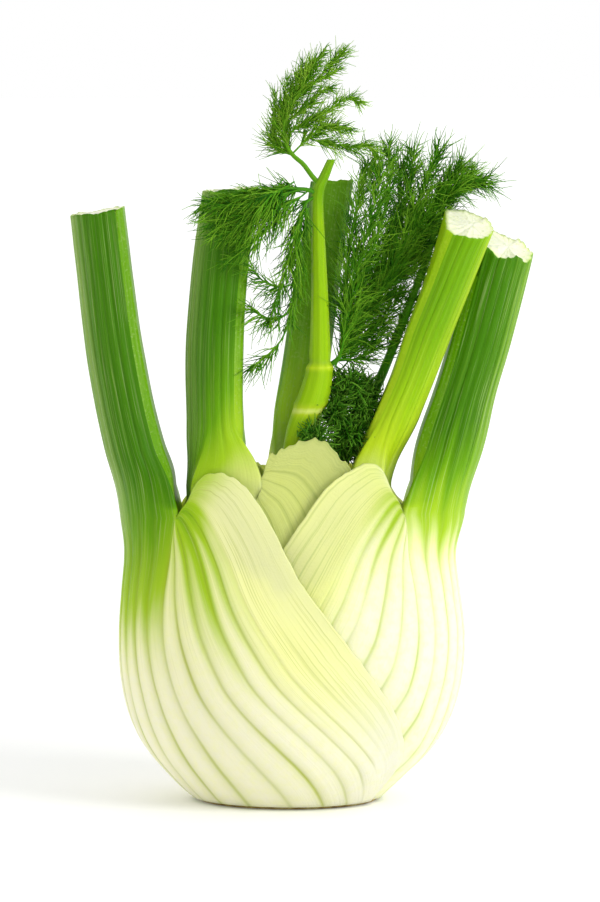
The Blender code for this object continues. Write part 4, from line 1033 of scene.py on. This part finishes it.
def build_base(material):
    """The cut stem with its slightly rough rim and the short round core that the leaves grow from."""
    sides = 180
    angle = np.arange(sides) * 360.0 / sides
    turn = np.radians(angle)
    points = []
    for height, inset in STEM_RINGS:
        x, y = bulb_point(angle, np.full(sides, height))
        rough = 0.12 * slow_noise(turn * 23, 77, 4) * (0 < height < BASE_HEIGHT)
        share = np.maximum(1 - (inset + rough) / np.hypot(x, y), 0.02)
        points.append(np.stack([x * share, y * share, np.full(sides, height)], axis=-1))
    for height, share in ((BASE_HEIGHT, 1.0), (STEM_TOP, 0.85)):
        x, y = STEM_CORE[0] * share * np.cos(turn), STEM_CORE[1] * share * np.sin(turn)
        points.append(np.stack([x, y, np.full(sides, height)], axis=-1))
    item = make_object("cut_fine_base", np.vstack(points), ringed_faces(len(points), sides), {}, [material])
    stand_for(item, "cut_base")


# Camera, light and floor.

def area_light(name, place, size, power):
    data = bpy.data.lights.new(name, "AREA")
    data.shape = "DISK"
    data.size = size
    data.energy = power
    lamp = add_object(name, data)
    lamp.location = place
    lamp.rotation_euler = (Vector(LIT_SPOT) - Vector(place)).to_track_quat("-Z", "Y").to_euler()


def light_surroundings(tree):
    """White surroundings that shine more from the right and from behind than from the left."""
    way = add_node(tree, "TexCoord", {}, "Generated")
    side = add_node(tree, "VectorMath", {0: way, 1: Vector(BRIGHT_SIDE).normalized()}, "Value",
                    operation="DOT_PRODUCT")
    strength = add_node(tree, "MapRange", {"Value": side, "From Min": -1.0, "From Max": 1.0, "To Min": 0.42,
                                           "To Max": 1.15}, "Result")
    shining = add_node(tree, "Background", {"Color": WHITE, "Strength": strength})
    seen = add_node(tree, "Background", {"Color": WHITE, "Strength": 1.0})
    straight = add_node(tree, "LightPath", {}, "Is Camera Ray")
    mixed = add_node(tree, "MixShader", {0: straight, 1: shining, 2: seen})
    tree.links.new(mixed, tree.nodes["World Output"].inputs["Surface"])


def floor_material():
    """Pale, with a painted glow that grows with the distance from the bulb, so that the floor is darker near
    it.
    """
    shader = Shader("floor", 0.9, specular=0.0)
    reach = shader.node("VectorMath", {0: shader.place()}, "Value", operation="LENGTH")
    color = shader.mix(shader.spots(3.0, 1.0), (0.93, 0.93, 0.93, 1.0), (0.96, 0.96, 0.96, 1.0))
    # Painted glow: the floor gives off light of its own, weaker near the bulb.
    return shader.finish(color, emission_color=WHITE,
                         emission_strength=shader.window(reach, 0.1, 1.2, 0.08, 0.3))


def set_stage():
    """Camera, lights, white surroundings and the floor."""
    data = bpy.data.cameras.new("camera")
    data.sensor_fit = "HORIZONTAL"
    data.sensor_width = SENSOR_WIDTH
    data.lens = SENSOR_WIDTH * DISTANCE / (PICTURE_WIDTH * PIXEL)
    camera = add_object("camera", data)
    target = Vector(((PICTURE_WIDTH / 2 - FOOT_X) * PIXEL, 0, (FOOT_Y - PICTURE_HEIGHT / 2) * PIXEL))
    camera.location = target + Vector((0, -math.cos(TILT), math.sin(TILT))) * DISTANCE
    camera.rotation_euler = (math.pi / 2 - TILT, 0, 0)

    scene = bpy.context.scene
    scene.camera = camera
    scene.view_settings.view_transform = "Standard"
    scene.view_settings.look = "None"
    scene.world = bpy.data.worlds.new("studio")
    scene.world.use_nodes = True
    light_surroundings(scene.world.node_tree)
    area_light("key", (0.8, -0.5, 0.55), 0.45, 5.0)
    area_light("side", (-0.9, 0.1, 0.35), 0.5, 1.6)

    floor = bpy.data.meshes.new("floor")
    corners = [(x * FLOOR_REACH, y * FLOOR_REACH, 0) for x, y in ((-1, -1), (1, -1), (1, 1), (-1, 1))]
    floor.from_pydata(corners, [], [(0, 1, 2, 3)])
    floor.materials.append(floor_material())
    add_object("floor", floor)


def main():
    set_stage()
    # The last colour of each list goes into the light streaks and tiny cells, and into the painted sheen on the
    # outermost ribs; the right leaf's is greener.
    green = shades((200, 217, 84), (158, 196, 30), (100, 156, 2), (63, 120, 0), (166, 192, 108))
    bright = shades((206, 224, 74), (182, 210, 30), (148, 192, 8), (106, 160, 0), (188, 214, 58))
    right_green = green[:4] + shades((144, 184, 66))
    flesh = flesh_material()
    left_skin = skin_material("left_skin", shades((245, 242, 211), (241, 242, 166), (172, 184, 62)), green, 1.0)
    right_skin = skin_material("right_skin", shades((247, 246, 210), (238, 242, 154), (172, 194, 70)),
                               right_green, 21.0)
    inner_skin = skin_material("inner_skin", shades((214, 223, 134), (206, 214, 112), (140, 160, 62)),
                               green, 41.0)
    bright_skin = skin_material("bright_skin", shades((222, 234, 138), (216, 230, 112), (160, 188, 60)),
                                bright, 61.0)
    green_inside = inside_material("green_inside", srgb(192, 210, 116), green, 5.0)
    bright_inside = inside_material("bright_inside", srgb(206, 220, 130), bright, 8.0)
    # For each leaf: its materials and slot, and where its skin is green and lined (see the masks).
    for leaf, skin, inside, slot_name, masks, settings in (
            (OUTER_LEFT, left_skin, green_inside, "outer_leaf", outer_masks,
             ((30, 98), (18, 92), 0.36, 0.24, 0.85)),
            (OUTER_RIGHT, right_skin, green_inside, "outer_leaf", outer_masks,
             ((62, 112), (46, 106), 0.26, 0.12, 0.7)),
            (INNER_LEFT, inner_skin, green_inside, "inner_leaf", inner_masks, ((56, 122), 28, 0.45)),
            (INNER_RIGHT, bright_skin, bright_inside, "inner_leaf", inner_masks, ((76, 150), 0, 0.4)),
            (CENTRE, inner_skin, green_inside, "inner_leaf", inner_masks, ((84, 152), 0, 0.4))):
        build_leaf(leaf, [skin, inside, flesh], masks, settings)
    build_young_leaf(bright_skin, flesh)
    deep = frond_material("deep_frond", (28, 88, 2), (66, 134, 8), (126, 182, 40))
    fresh = frond_material("fresh_frond", (50, 112, 4), (94, 154, 14), (146, 192, 54))
    dark = frond_material("dark_frond", (20, 74, 3), (58, 126, 12), (140, 192, 60))
    for side, material, sprays, pairs, growth in (
            ("top", fresh, TOP_SPRAYS, TOP_BETWEEN, TOP_GROWTH),
            ("left", deep, LEFT_SPRAYS, LEFT_BETWEEN, LEFT_GROWTH),
            ("right", deep, RIGHT_SPRAYS, RIGHT_BETWEEN, RIGHT_GROWTH)):
        more = [between(sprays[first], sprays[second], share, shift) for first, second, share, shift in pairs]
        item = grow_frond(sprays + more, growth).build(side + "_fine_frond", material)
        stand_for(item, side + "_frond")
    build_tuft(dark)
    build_base(base_material())


main()
